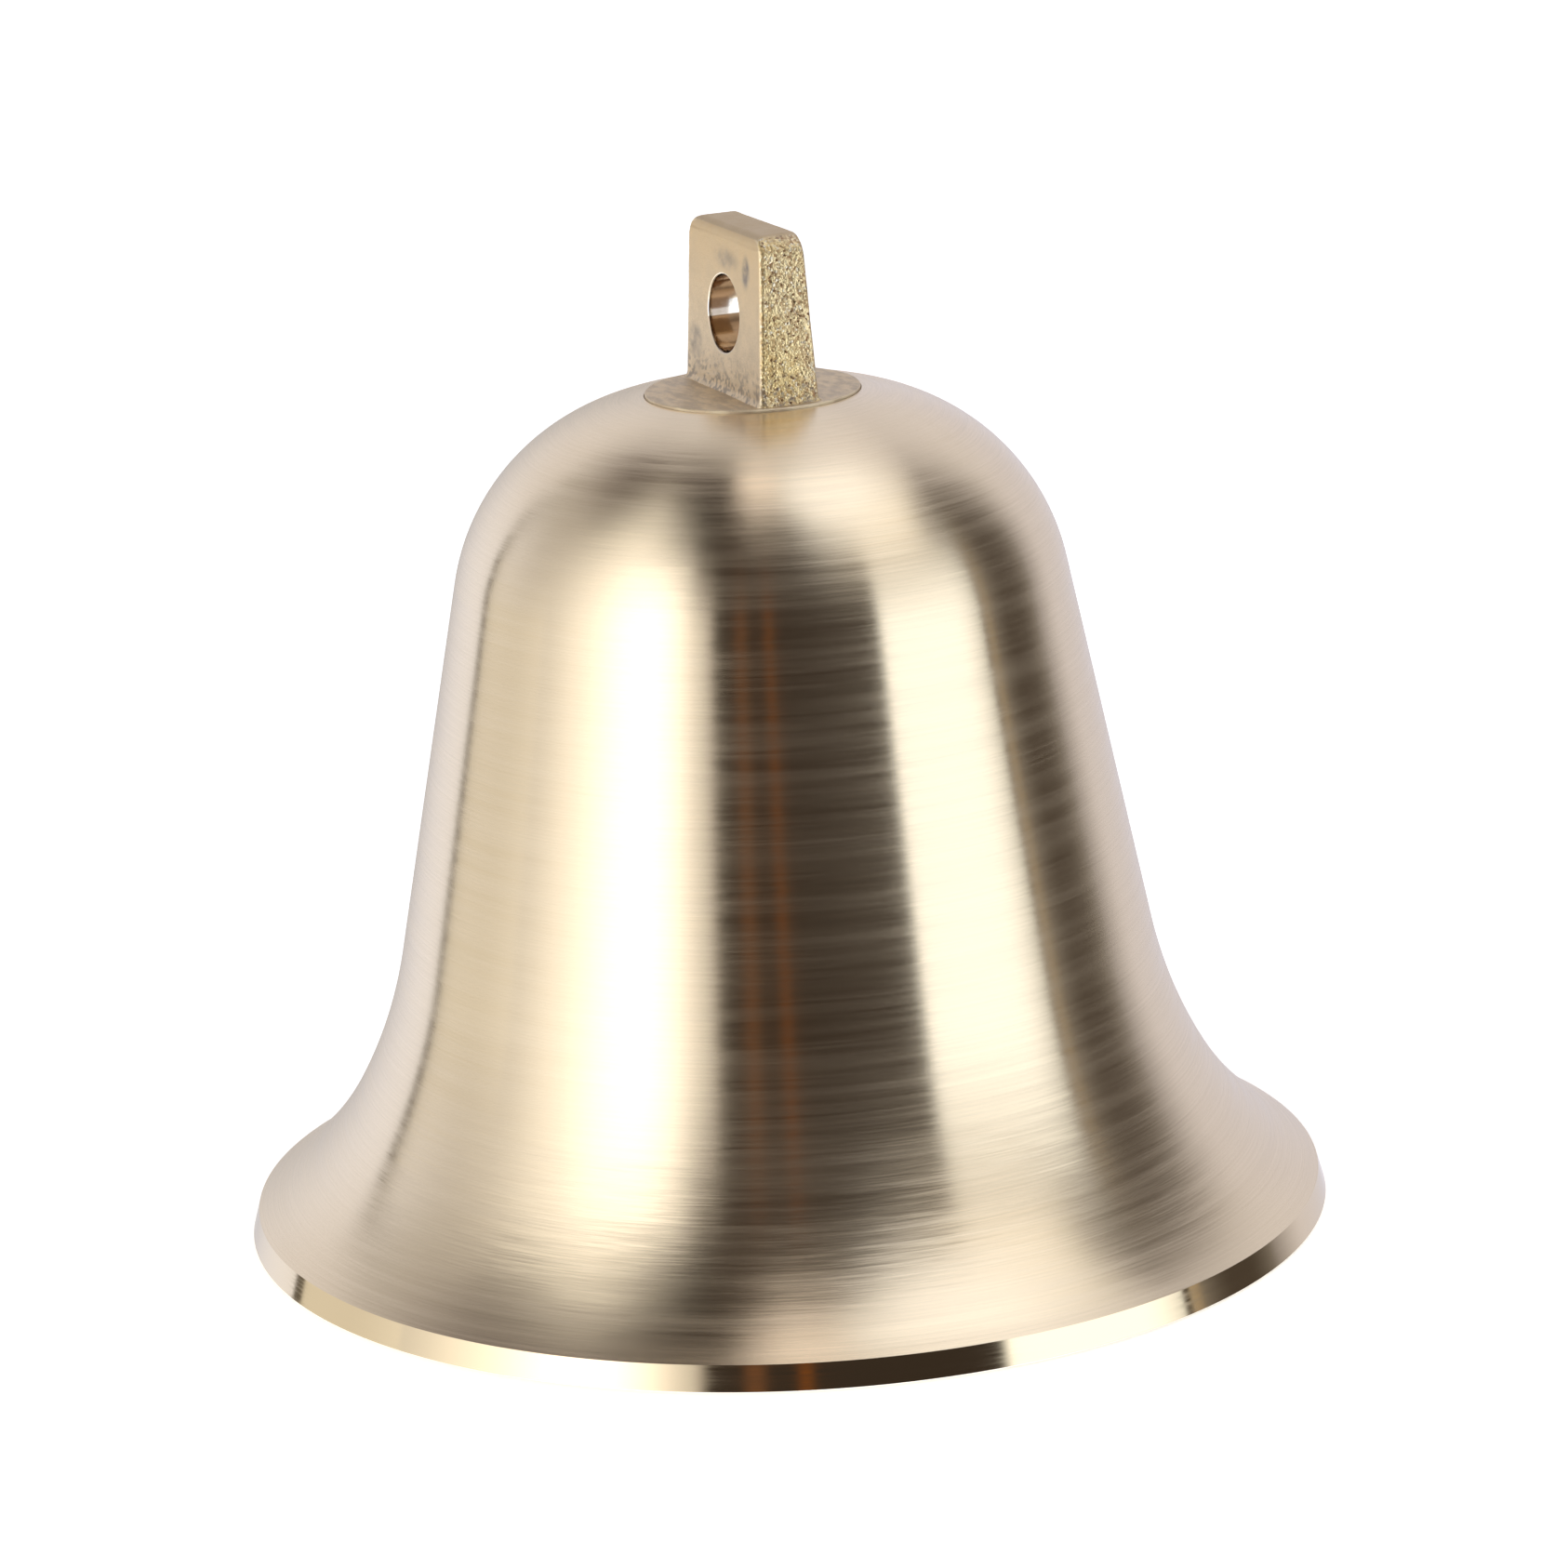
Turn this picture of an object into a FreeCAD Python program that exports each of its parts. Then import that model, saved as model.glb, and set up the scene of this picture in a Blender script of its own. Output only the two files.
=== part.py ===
"""A small cast brass church bell with a bolted-on hanging lug and a clapper on a clevis.

Row frame, in millimetres: +Z is the bell's axis, pointing up, and the origin is the centre of the
mouth, in the plane that the lip stands on. The hole in the hanging lug and the clapper's pivot pin
both run along Y, so the bell swings, and its clapper swings, in the XZ plane.
Every sub-part has its own function and is written to parts/NODE.step.
"""

import FreeCAD
import Part

import math
import os

from FreeCAD import Vector

# ---- driving dimensions of the bell, in millimetres and degrees -----------------------------
# Slopes are measured from the vertical, leaning in towards the axis on the way up.
LIP_RADIUS = 50.0  # the widest point, just above the standing face
LIP_TOP_RADIUS = 49.36  # top edge of the bevelled lip band
LIP_BAND_HEIGHT = 2.5
LIP_EDGE_CHAMFER = 0.25
FLARE_SLOPE = 58.5  # where the flare meets the lip band
FLARE_LOWER_RADIUS = 28.0
FLARE_MIDDLE_SLOPE = 29.7
FLARE_UPPER_RADIUS = 45.0
WAIST_SLOPE = 11.1
WAIST_LENGTH = 35.2
SHOULDER_RADIUS = 20.5
CROWN_SLOPE = 84.0  # where the shoulder meets the lug's flange
WALL = 2.9  # waist and shoulder thickness
SOUND_BOW_RADIUS = 24.0  # inner flare, tighter than the outer one, so the wall thickens there
INNER_LIP_SLOPE = 58.0
INNER_LIP_HEIGHT = 0.6  # of the bevel inside the standing face

# ---- crown seat and hanging lug --------------------------------------------------------------
FLANGE_RADIUS = 9.76
FLANGE_THICKNESS = 1.5
FLANGE_EDGE_CHAMFER = 0.12
FLANGE_PROUD = 0.3  # height of the flange above the shell's edge around it
FLANGE_SEAT_GAP = 0.06  # radial gap round the flange in its recess
CROWN_BOSS_RADIUS = 10.6
CROWN_THICKNESS = 3.6  # metal between the flange's recess and the inner boss face
LUG_BASE_WIDTH = 16.9
LUG_TOP_WIDTH = 16.1
LUG_BASE_THICKNESS = 5.8
LUG_TOP_THICKNESS = 4.2
LUG_HEIGHT = 15.0  # above the flange
LUG_CORNER_RADIUS = 2.0
LUG_EDGE_RADIUS = 0.4
LUG_ROOT_FILLET = 0.4
HANG_HOLE_RADIUS = 3.5
HANG_HOLE_HEIGHT = 7.1  # above the flange

# ---- M8 stud, washers and nut under the crown ------------------------------------------------
STUD_RADIUS = 3.95
STUD_ROOT_RADIUS = 3.35
STUD_PITCH = 1.25
STUD_TIP_CHAMFER = 0.5
STUD_HOLE_RADIUS = 4.2  # clearance hole in the crown
TAPPED_RADIUS = 4.0  # nut and clevis, clear of the stud's crests
LEATHER_WASHER_RADIUS = 9.4
LEATHER_WASHER_THICKNESS = 1.0
FLAT_WASHER_RADIUS = 8.0
FLAT_WASHER_THICKNESS = 1.2
LOCK_WASHER_RADIUS = 7.2
LOCK_WASHER_THICKNESS = 1.6
LOCK_WASHER_SLIT = 0.9
LOCK_WASHER_SLIT_TURN = 45.0  # direction of the slit, from X
WASHER_EDGE = 0.15  # broken edge of every washer
NUT_ACROSS_FLATS = 13.0
NUT_HEIGHT = 4.0
HEX_SIDES = 6
HEX_CHAMFER_SLOPE = 30.0
NUT_COUNTERSINK = 0.12  # share of the hole's radius
THREAD_CREST = 0.125  # half the flat on a thread's crest, in pitches

# ---- clevis and its pin ------------------------------------------------------------------------
CLEVIS_BOSS_RADIUS = 6.2
CLEVIS_BOSS_HEIGHT = 6.0
CLEVIS_HOLE_DEPTH = 5.0
STUD_END_GAP = 0.4  # between the stud's tip and the bottom of the clevis's hole
CLEVIS_EAR_THICKNESS = 2.4
CLEVIS_EAR_RADIUS = 4.4
CLEVIS_SLOT = 5.8
CLEVIS_PIN_DROP = 5.4  # pin axis below the boss
CLEVIS_CHAMFER = 0.5
CLEVIS_EAR_ROOT = 1.0  # how far the ears reach up into the boss
PIN_RADIUS = 1.98
PIN_HOLE_RADIUS = 2.03
PIN_HEAD_RADIUS = 3.3
PIN_HEAD_THICKNESS = 1.3
PIN_TAIL = 3.6  # length beyond the clevis, through the washer and past the split pin
PIN_CHAMFER = 0.4
PIN_WASHER_RADIUS = 3.9
PIN_WASHER_THICKNESS = 0.8
SHIM_RADIUS = 4.2
SHIM_THICKNESS = 0.5
SPLIT_PIN_WIRE_RADIUS = 0.42
SPLIT_PIN_HOLE_RADIUS = 0.95
SPLIT_PIN_GAP = 0.25  # between the pivot washer and the split pin's hole
SPLIT_PIN_EYE_RADIUS = 1.25  # of the wire's centre line
SPLIT_PIN_LEG = 1.9  # length of each leg's bent end
SPLIT_PIN_LEG_GAP = 1.04  # centre line's distance from the middle, in wire radii
SPLIT_PIN_SPREAD = 35.0  # how far each leg is bent aside

# ---- clapper ------------------------------------------------------------------------------------
CLAPPER_EYE_RADIUS = 4.5
CLAPPER_EYE_THICKNESS = 4.6
BUSH_PROUD = 0.05  # the bush stands this far out of the eye on each side
BUSH_RADIUS = 2.9
BUSH_HOLE_RADIUS = 2.04
BUSH_FIT = 0.01  # radial gap between bush and eye
CLAPPER_NECK_RADIUS = 1.9
CLAPPER_SHANK_RADIUS = 2.7
CLAPPER_SHANK_ROOT = 1.0  # how far the shank reaches up into the eye
CLAPPER_COLLAR_RADIUS = 3.9
CLAPPER_COLLAR_THICKNESS = 1.4
CLAPPER_COLLAR_CHAMFER = 0.3
BALL_RADIUS = 10.0
BALL_HEIGHT = 13.2  # centre above the mouth plane
BALL_BORE_RADIUS = 2.05
SPIGOT_RADIUS = 1.97
SPIGOT_ROOT_RADIUS = 1.6
SPIGOT_PITCH = 0.7
END_WASHER_RADIUS = 4.1
END_WASHER_THICKNESS = 0.6
END_NUT_ACROSS_FLATS = 7.0
END_NUT_HEIGHT = 2.8
END_NUT_RECESS_RADIUS = 4.6
END_NUT_RECESS_ROOF = 5.6  # recess roof below the ball's centre
SPIGOT_END_BELOW_NUT = 0.6

Z_AXIS = Vector(0, 0, 1)
Y_AXIS = Vector(0, 1, 0)
X_AXIS = Vector(1, 0, 0)
ORIGIN = Vector(0, 0, 0)
FULL_TURN = 360
TINY = 1e-5
OVERRUN = 1.0  # how far a cutting shape runs past the face it cuts


def sine(degrees):
    return math.sin(math.radians(degrees))


def cosine(degrees):
    return math.cos(math.radians(degrees))


def at(radius, height):
    """A point of a profile, in the XZ half plane that is turned about Z."""
    return Vector(radius, 0, height)


def along(start, slope, length):
    """The end of a straight run that leaves start at a slope."""
    return start + Vector(-sine(slope) * length, 0, cosine(slope) * length)


def around(start, slope, radius, new_slope):
    """The point of a tangent arc at which its slope has become new_slope."""
    side = 1 if new_slope > slope else -1
    return start + Vector(
        side * radius * (cosine(new_slope) - cosine(slope)),
        0,
        side * radius * (sine(new_slope) - sine(slope)),
    )


def arc(start, slope, radius, new_slope):
    """A tangent arc as an edge."""
    middle = around(start, slope, radius, (slope + new_slope) / 2)
    return Part.Arc(start, middle, around(start, slope, radius, new_slope)).toShape()


def polyline(points):
    """Straight edges through the points."""
    return [Part.makeLine(a, b) for a, b in zip(points, points[1:])]


def turned(edges):
    """The solid that a closed outline of edges sweeps about the Z axis."""
    face = Part.Face(Part.Wire(Part.__sortEdges__(edges)))
    solid = face.revolve(ORIGIN, Z_AXIS, FULL_TURN)
    return solid if solid.Volume > 0 else solid.reversed()


def turned_points(points):
    """The solid that a closed polygon of (radius, height) points sweeps about the Z axis."""
    corners = [at(radius, height) for radius, height in points]
    return turned(polyline(corners + corners[:1]))


def moved(shape, offset):
    copy = shape.copy()
    copy.translate(offset)
    return copy


def rod_along_y(radius, y_low, y_high, height):
    return Part.makeCylinder(radius, y_high - y_low, Vector(0, y_low, height), Y_AXIS)


def ring(outer_radius, inner_radius, bottom, thickness):
    """A flat washer lying across the Z axis, with its edges just broken."""
    edge = WASHER_EDGE
    return turned_points(
        [
            (inner_radius, bottom),
            (outer_radius - edge, bottom),
            (outer_radius, bottom + edge),
            (outer_radius, bottom + thickness - edge),
            (outer_radius - edge, bottom + thickness),
            (inner_radius, bottom + thickness),
        ]
    )


def threaded_rod(crest, root, pitch, bottom, top):
    """A rod along Z whose thread is drawn as a row of V rings, with a chamfered lower tip."""
    points = [(0, top), (crest, top)]
    turns = int((top - bottom - STUD_TIP_CHAMFER) / pitch)
    for turn in range(turns):
        ring_top = top - turn * pitch
        points.append((crest, ring_top - pitch * THREAD_CREST))
        points.append((root, ring_top - pitch / 2))
        points.append((crest, ring_top - pitch * (1 - THREAD_CREST)))
    points.append((crest, bottom + STUD_TIP_CHAMFER))
    points.append((crest - STUD_TIP_CHAMFER, bottom))
    points.append((0, bottom))
    return turned_points(points)


def hex_nut(across_flats, height, bore, bottom):
    """A hexagon nut along Z, its corners turned down at both ends and its hole countersunk."""
    sector = FULL_TURN / HEX_SIDES
    corner = across_flats / 2 / cosine(sector / 2)
    corners = [
        Vector(corner * cosine(sector * k), corner * sine(sector * k), bottom)
        for k in range(HEX_SIDES + 1)
    ]
    prism = Part.Face(Part.makePolygon(corners)).extrude(Vector(0, 0, height))
    flat = across_flats / 2
    drop = (corner - flat) * math.tan(math.radians(HEX_CHAMFER_SLOPE))
    envelope = turned_points(
        [
            (0, bottom),
            (flat, bottom),
            (corner, bottom + drop),
            (corner, bottom + height - drop),
            (flat, bottom + height),
            (0, bottom + height),
        ]
    )
    countersink = bore * NUT_COUNTERSINK
    hole = turned_points(
        [
            (0, bottom - OVERRUN),
            (bore + countersink + OVERRUN, bottom - OVERRUN),
            (bore, bottom + countersink),
            (bore, bottom + height - countersink),
            (bore + countersink + OVERRUN, bottom + height + OVERRUN),
            (0, bottom + height + OVERRUN),
        ]
    )
    return prism.common(envelope).cut(hole)


# ---- places that several sub-parts share ---------------------------------------------------------
LIP_TOP = at(LIP_TOP_RADIUS, LIP_BAND_HEIGHT)
FLARE_MIDDLE = around(LIP_TOP, FLARE_SLOPE, FLARE_LOWER_RADIUS, FLARE_MIDDLE_SLOPE)
WAIST_FOOT = around(FLARE_MIDDLE, FLARE_MIDDLE_SLOPE, FLARE_UPPER_RADIUS, WAIST_SLOPE)
WAIST_TOP = along(WAIST_FOOT, WAIST_SLOPE, WAIST_LENGTH)
CROWN_EDGE = around(WAIST_TOP, WAIST_SLOPE, SHOULDER_RADIUS, CROWN_SLOPE)

FLANGE_TOP = CROWN_EDGE.z + FLANGE_PROUD
FLANGE_BOTTOM = FLANGE_TOP - FLANGE_THICKNESS
BOSS_FACE = FLANGE_BOTTOM - CROWN_THICKNESS
LEATHER_WASHER_BOTTOM = BOSS_FACE - LEATHER_WASHER_THICKNESS
FLAT_WASHER_BOTTOM = LEATHER_WASHER_BOTTOM - FLAT_WASHER_THICKNESS
LOCK_WASHER_BOTTOM = FLAT_WASHER_BOTTOM - LOCK_WASHER_THICKNESS
NUT_BOTTOM = LOCK_WASHER_BOTTOM - NUT_HEIGHT
CLEVIS_BOSS_BOTTOM = NUT_BOTTOM - CLEVIS_BOSS_HEIGHT
PIVOT_HEIGHT = CLEVIS_BOSS_BOTTOM - CLEVIS_PIN_DROP
STUD_BOTTOM = NUT_BOTTOM - CLEVIS_HOLE_DEPTH + STUD_END_GAP
END_WASHER_BOTTOM = BALL_HEIGHT - END_NUT_RECESS_ROOF - END_WASHER_THICKNESS
END_NUT_BOTTOM = END_WASHER_BOTTOM - END_NUT_HEIGHT


def bell_shell():
    """The bell itself: a turned casting with a bevelled lip, a thick sound bow and a bored crown."""
    inward = Vector(-cosine(WAIST_SLOPE), 0, -sine(WAIST_SLOPE))
    inner_waist_top = WAIST_TOP + inward * WALL
    inner_shoulder_radius = SHOULDER_RADIUS - WALL
    centre = inner_waist_top + inward * inner_shoulder_radius
    boss_slope = math.degrees(
        math.acos((CROWN_BOSS_RADIUS - centre.x) / inner_shoulder_radius)
    )
    inner_crown = around(
        inner_waist_top, WAIST_SLOPE, inner_shoulder_radius, boss_slope
    )
    bow_rise = SOUND_BOW_RADIUS * (sine(INNER_LIP_SLOPE) - sine(WAIST_SLOPE))
    bow_top_height = INNER_LIP_HEIGHT + bow_rise
    run = (inner_waist_top.z - bow_top_height) / cosine(WAIST_SLOPE)
    bow_top = along(inner_waist_top, WAIST_SLOPE, -run)
    bow_depth = SOUND_BOW_RADIUS * (cosine(WAIST_SLOPE) - cosine(INNER_LIP_SLOPE))
    inner_lip = bow_top + Vector(bow_depth, 0, -bow_rise)
    recess_radius = FLANGE_RADIUS + FLANGE_SEAT_GAP
    outside = [
        arc(LIP_TOP, FLARE_SLOPE, FLARE_LOWER_RADIUS, FLARE_MIDDLE_SLOPE),
        arc(FLARE_MIDDLE, FLARE_MIDDLE_SLOPE, FLARE_UPPER_RADIUS, WAIST_SLOPE),
        Part.makeLine(WAIST_FOOT, WAIST_TOP),
        arc(WAIST_TOP, WAIST_SLOPE, SHOULDER_RADIUS, CROWN_SLOPE),
    ]
    crown = polyline(
        [
            CROWN_EDGE,
            at(recess_radius, CROWN_EDGE.z),
            at(recess_radius, FLANGE_BOTTOM),
            at(STUD_HOLE_RADIUS, FLANGE_BOTTOM),
            at(STUD_HOLE_RADIUS, BOSS_FACE),
            at(CROWN_BOSS_RADIUS, BOSS_FACE),
            inner_crown,
        ]
    )
    inside = [
        arc(inner_waist_top, WAIST_SLOPE, inner_shoulder_radius, boss_slope),
        Part.makeLine(inner_waist_top, bow_top),
        arc(inner_lip, INNER_LIP_SLOPE, SOUND_BOW_RADIUS, WAIST_SLOPE),
    ]
    lip = polyline(
        [
            inner_lip,
            at(inner_lip.x + INNER_LIP_HEIGHT, 0),
            at(LIP_RADIUS - 2 * LIP_EDGE_CHAMFER, 0),
            at(LIP_RADIUS, LIP_EDGE_CHAMFER),
            LIP_TOP,
        ]
    )
    return turned(outside + crown + inside + lip)


def is_across(edge):
    """Whether an edge runs along Y, through the plate's thickness."""
    first = edge.Vertexes[0].Point
    last = edge.Vertexes[-1].Point
    return abs(first.x - last.x) < TINY and abs(first.z - last.z) < TINY


def lug_plate():
    """The lug's plate above the flange: drafted on all sides, its top corners rounded."""
    base = FLANGE_TOP - FLANGE_THICKNESS / 2
    top = FLANGE_TOP + LUG_HEIGHT
    grow = (FLANGE_TOP - base) / LUG_HEIGHT
    base_half = LUG_BASE_WIDTH / 2 + grow * (LUG_BASE_WIDTH - LUG_TOP_WIDTH) / 2
    base_thick = (
        LUG_BASE_THICKNESS / 2 + grow * (LUG_BASE_THICKNESS - LUG_TOP_THICKNESS) / 2
    )
    front = Part.makePolygon(
        [
            Vector(-base_half, -LUG_BASE_THICKNESS, base),
            Vector(base_half, -LUG_BASE_THICKNESS, base),
            Vector(LUG_TOP_WIDTH / 2, -LUG_BASE_THICKNESS, top),
            Vector(-LUG_TOP_WIDTH / 2, -LUG_BASE_THICKNESS, top),
            Vector(-base_half, -LUG_BASE_THICKNESS, base),
        ]
    )
    end = Part.makePolygon(
        [
            Vector(-LUG_BASE_WIDTH, -base_thick, base),
            Vector(-LUG_BASE_WIDTH, base_thick, base),
            Vector(-LUG_BASE_WIDTH, LUG_TOP_THICKNESS / 2, top),
            Vector(-LUG_BASE_WIDTH, -LUG_TOP_THICKNESS / 2, top),
            Vector(-LUG_BASE_WIDTH, -base_thick, base),
        ]
    )
    plate = Part.Face(front).extrude(Y_AXIS * 2 * LUG_BASE_THICKNESS)
    plate = plate.common(Part.Face(end).extrude(X_AXIS * 2 * LUG_BASE_WIDTH))
    corners = [e for e in plate.Edges if is_across(e) and e.BoundBox.ZMin > top - TINY]
    return plate.makeFillet(LUG_CORNER_RADIUS, corners)


def level_of(edge):
    """The height of an edge that lies flat, or None for one that rises."""
    heights = [vertex.Point.z for vertex in edge.Vertexes]
    return heights[0] if max(heights) - min(heights) < TINY else None


def reach_of(edge):
    """How far an edge's ends are from the bell's axis."""
    return max(math.hypot(vertex.Point.x, vertex.Point.y) for vertex in edge.Vertexes)


def hanging_lug():
    """The hanger: a drilled plate, a round flange and a threaded stud in one sand casting."""
    flange = turned_points(
        [
            (0, FLANGE_BOTTOM),
            (FLANGE_RADIUS, FLANGE_BOTTOM),
            (FLANGE_RADIUS, FLANGE_TOP - FLANGE_EDGE_CHAMFER),
            (FLANGE_RADIUS - FLANGE_EDGE_CHAMFER, FLANGE_TOP),
            (0, FLANGE_TOP),
        ]
    )
    casting = flange.fuse(lug_plate()).removeSplitter()
    above = [edge for edge in casting.Edges if edge.BoundBox.ZMax > FLANGE_TOP + OVERRUN]
    casting = casting.makeFillet(LUG_EDGE_RADIUS, [e for e in above if not is_across(e)])
    foot = [
        edge
        for edge in casting.Edges
        if level_of(edge) is not None
        and abs(level_of(edge) - FLANGE_TOP) < TINY
        and reach_of(edge) < FLANGE_RADIUS - 2 * FLANGE_EDGE_CHAMFER
    ]
    casting = casting.makeFillet(LUG_ROOT_FILLET, foot)
    hole = rod_along_y(
        HANG_HOLE_RADIUS, -LUG_BASE_WIDTH, LUG_BASE_WIDTH, FLANGE_TOP + HANG_HOLE_HEIGHT
    )
    stud = threaded_rod(
        STUD_RADIUS, STUD_ROOT_RADIUS, STUD_PITCH, STUD_BOTTOM, FLANGE_BOTTOM
    )
    return casting.cut(hole).fuse(stud).removeSplitter()


def crown_leather_washer():
    return ring(
        LEATHER_WASHER_RADIUS, STUD_HOLE_RADIUS, LEATHER_WASHER_BOTTOM, LEATHER_WASHER_THICKNESS
    )


def crown_flat_washer():
    return ring(
        FLAT_WASHER_RADIUS, STUD_HOLE_RADIUS, FLAT_WASHER_BOTTOM, FLAT_WASHER_THICKNESS
    )


def crown_lock_washer():
    """A split spring washer, drawn flat as it is when the nut is tight."""
    washer = ring(
        LOCK_WASHER_RADIUS, STUD_HOLE_RADIUS, LOCK_WASHER_BOTTOM, LOCK_WASHER_THICKNESS
    )
    slit = Part.makeBox(
        LOCK_WASHER_RADIUS,
        LOCK_WASHER_SLIT,
        LOCK_WASHER_THICKNESS * 3,
        Vector(0, -LOCK_WASHER_SLIT / 2, LOCK_WASHER_BOTTOM - LOCK_WASHER_THICKNESS),
    )
    slit.rotate(ORIGIN, Z_AXIS, LOCK_WASHER_SLIT_TURN)
    return washer.cut(slit)


def crown_nut():
    return hex_nut(NUT_ACROSS_FLATS, NUT_HEIGHT, TAPPED_RADIUS, NUT_BOTTOM)


def clapper_clevis():
    """A round boss tapped for the stud, with two ears that carry the pivot pin."""
    boss = turned_points(
        [
            (0, CLEVIS_BOSS_BOTTOM),
            (CLEVIS_BOSS_RADIUS - CLEVIS_CHAMFER, CLEVIS_BOSS_BOTTOM),
            (CLEVIS_BOSS_RADIUS, CLEVIS_BOSS_BOTTOM + CLEVIS_CHAMFER),
            (CLEVIS_BOSS_RADIUS, NUT_BOTTOM - CLEVIS_CHAMFER),
            (CLEVIS_BOSS_RADIUS - CLEVIS_CHAMFER, NUT_BOTTOM),
            (0, NUT_BOTTOM),
        ]
    )
    outer = CLEVIS_SLOT / 2 + CLEVIS_EAR_THICKNESS
    block = Part.makeBox(
        2 * CLEVIS_EAR_RADIUS,
        2 * outer,
        CLEVIS_PIN_DROP + CLEVIS_EAR_ROOT,
        Vector(-CLEVIS_EAR_RADIUS, -outer, PIVOT_HEIGHT),
    )
    ears = block.fuse(rod_along_y(CLEVIS_EAR_RADIUS, -outer, outer, PIVOT_HEIGHT))
    slot = Part.makeBox(
        4 * CLEVIS_EAR_RADIUS,
        CLEVIS_SLOT,
        CLEVIS_PIN_DROP + 2 * CLEVIS_EAR_RADIUS,
        Vector(
            -2 * CLEVIS_EAR_RADIUS,
            -CLEVIS_SLOT / 2,
            CLEVIS_BOSS_BOTTOM - CLEVIS_PIN_DROP - 2 * CLEVIS_EAR_RADIUS,
        ),
    )
    clevis = boss.fuse(ears.cut(slot)).removeSplitter()
    clevis = clevis.cut(rod_along_y(PIN_HOLE_RADIUS, -2 * outer, 2 * outer, PIVOT_HEIGHT))
    socket = Part.makeCylinder(
        TAPPED_RADIUS,
        CLEVIS_HOLE_DEPTH + OVERRUN,
        Vector(0, 0, NUT_BOTTOM - CLEVIS_HOLE_DEPTH),
        Z_AXIS,
    )
    return clevis.cut(socket)


def laid_along_y(solid):
    """A solid turned about Z, laid over so that its axis runs along Y through the pivot."""
    solid = solid.copy()
    solid.rotate(ORIGIN, X_AXIS, -90)
    solid.translate(Vector(0, 0, PIVOT_HEIGHT))
    return solid


EAR_FACE = CLEVIS_SLOT / 2 + CLEVIS_EAR_THICKNESS
SPLIT_PIN_PLACE = EAR_FACE + PIN_WASHER_THICKNESS + SPLIT_PIN_HOLE_RADIUS + SPLIT_PIN_GAP


def pivot_pin():
    """A headed pin along Y, cross-drilled at its tail for the split pin."""
    head = EAR_FACE + PIN_HEAD_THICKNESS
    tail = EAR_FACE + PIN_TAIL
    pin = turned_points(
        [
            (0, -head),
            (PIN_HEAD_RADIUS - PIN_CHAMFER, -head),
            (PIN_HEAD_RADIUS, -head + PIN_CHAMFER),
            (PIN_HEAD_RADIUS, -EAR_FACE),
            (PIN_RADIUS, -EAR_FACE),
            (PIN_RADIUS, tail - PIN_CHAMFER),
            (PIN_RADIUS - PIN_CHAMFER, tail),
            (0, tail),
        ]
    )
    cross_hole = Part.makeCylinder(
        SPLIT_PIN_HOLE_RADIUS,
        4 * PIN_RADIUS,
        Vector(-2 * PIN_RADIUS, 0, SPLIT_PIN_PLACE),
        X_AXIS,
    )
    return laid_along_y(pin.cut(cross_hole))


def pivot_washer():
    return laid_along_y(
        ring(PIN_WASHER_RADIUS, PIN_HOLE_RADIUS, EAR_FACE, PIN_WASHER_THICKNESS)
    )


def shim(side):
    """A thin washer on the pin, between the clapper's eye and the clevis's ear on one side."""
    bottom = CLEVIS_SLOT / 2 - SHIM_THICKNESS if side > 0 else -CLEVIS_SLOT / 2
    return laid_along_y(ring(SHIM_RADIUS, BUSH_HOLE_RADIUS, bottom, SHIM_THICKNESS))


def shim_front():
    return shim(-1)


def shim_back():
    return shim(1)


def pivot_split_pin():
    """A wire split pin along X: an eye on one side of the pivot pin, two bent legs on the other."""
    eye_centre = Vector(
        -PIN_RADIUS - SPLIT_PIN_EYE_RADIUS - SPLIT_PIN_WIRE_RADIUS, SPLIT_PIN_PLACE, PIVOT_HEIGHT
    )
    eye = Part.makeTorus(SPLIT_PIN_EYE_RADIUS, SPLIT_PIN_WIRE_RADIUS, eye_centre, Y_AXIS)
    pieces = []
    for side in (-1, 1):
        offset = side * SPLIT_PIN_WIRE_RADIUS * SPLIT_PIN_LEG_GAP
        start = eye_centre + Vector(SPLIT_PIN_EYE_RADIUS - SPLIT_PIN_WIRE_RADIUS / 2, 0, offset)
        bend = Vector(PIN_RADIUS + 2 * SPLIT_PIN_WIRE_RADIUS, SPLIT_PIN_PLACE, start.z)
        aside = Vector(cosine(SPLIT_PIN_SPREAD), 0, side * sine(SPLIT_PIN_SPREAD))
        pieces.append(
            Part.makeCylinder(SPLIT_PIN_WIRE_RADIUS, (bend - start).Length, start, X_AXIS)
        )
        pieces.append(Part.makeSphere(SPLIT_PIN_WIRE_RADIUS, bend))
        pieces.append(Part.makeCylinder(SPLIT_PIN_WIRE_RADIUS, SPLIT_PIN_LEG, bend, aside))
    return eye.fuse(pieces).removeSplitter()


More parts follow.
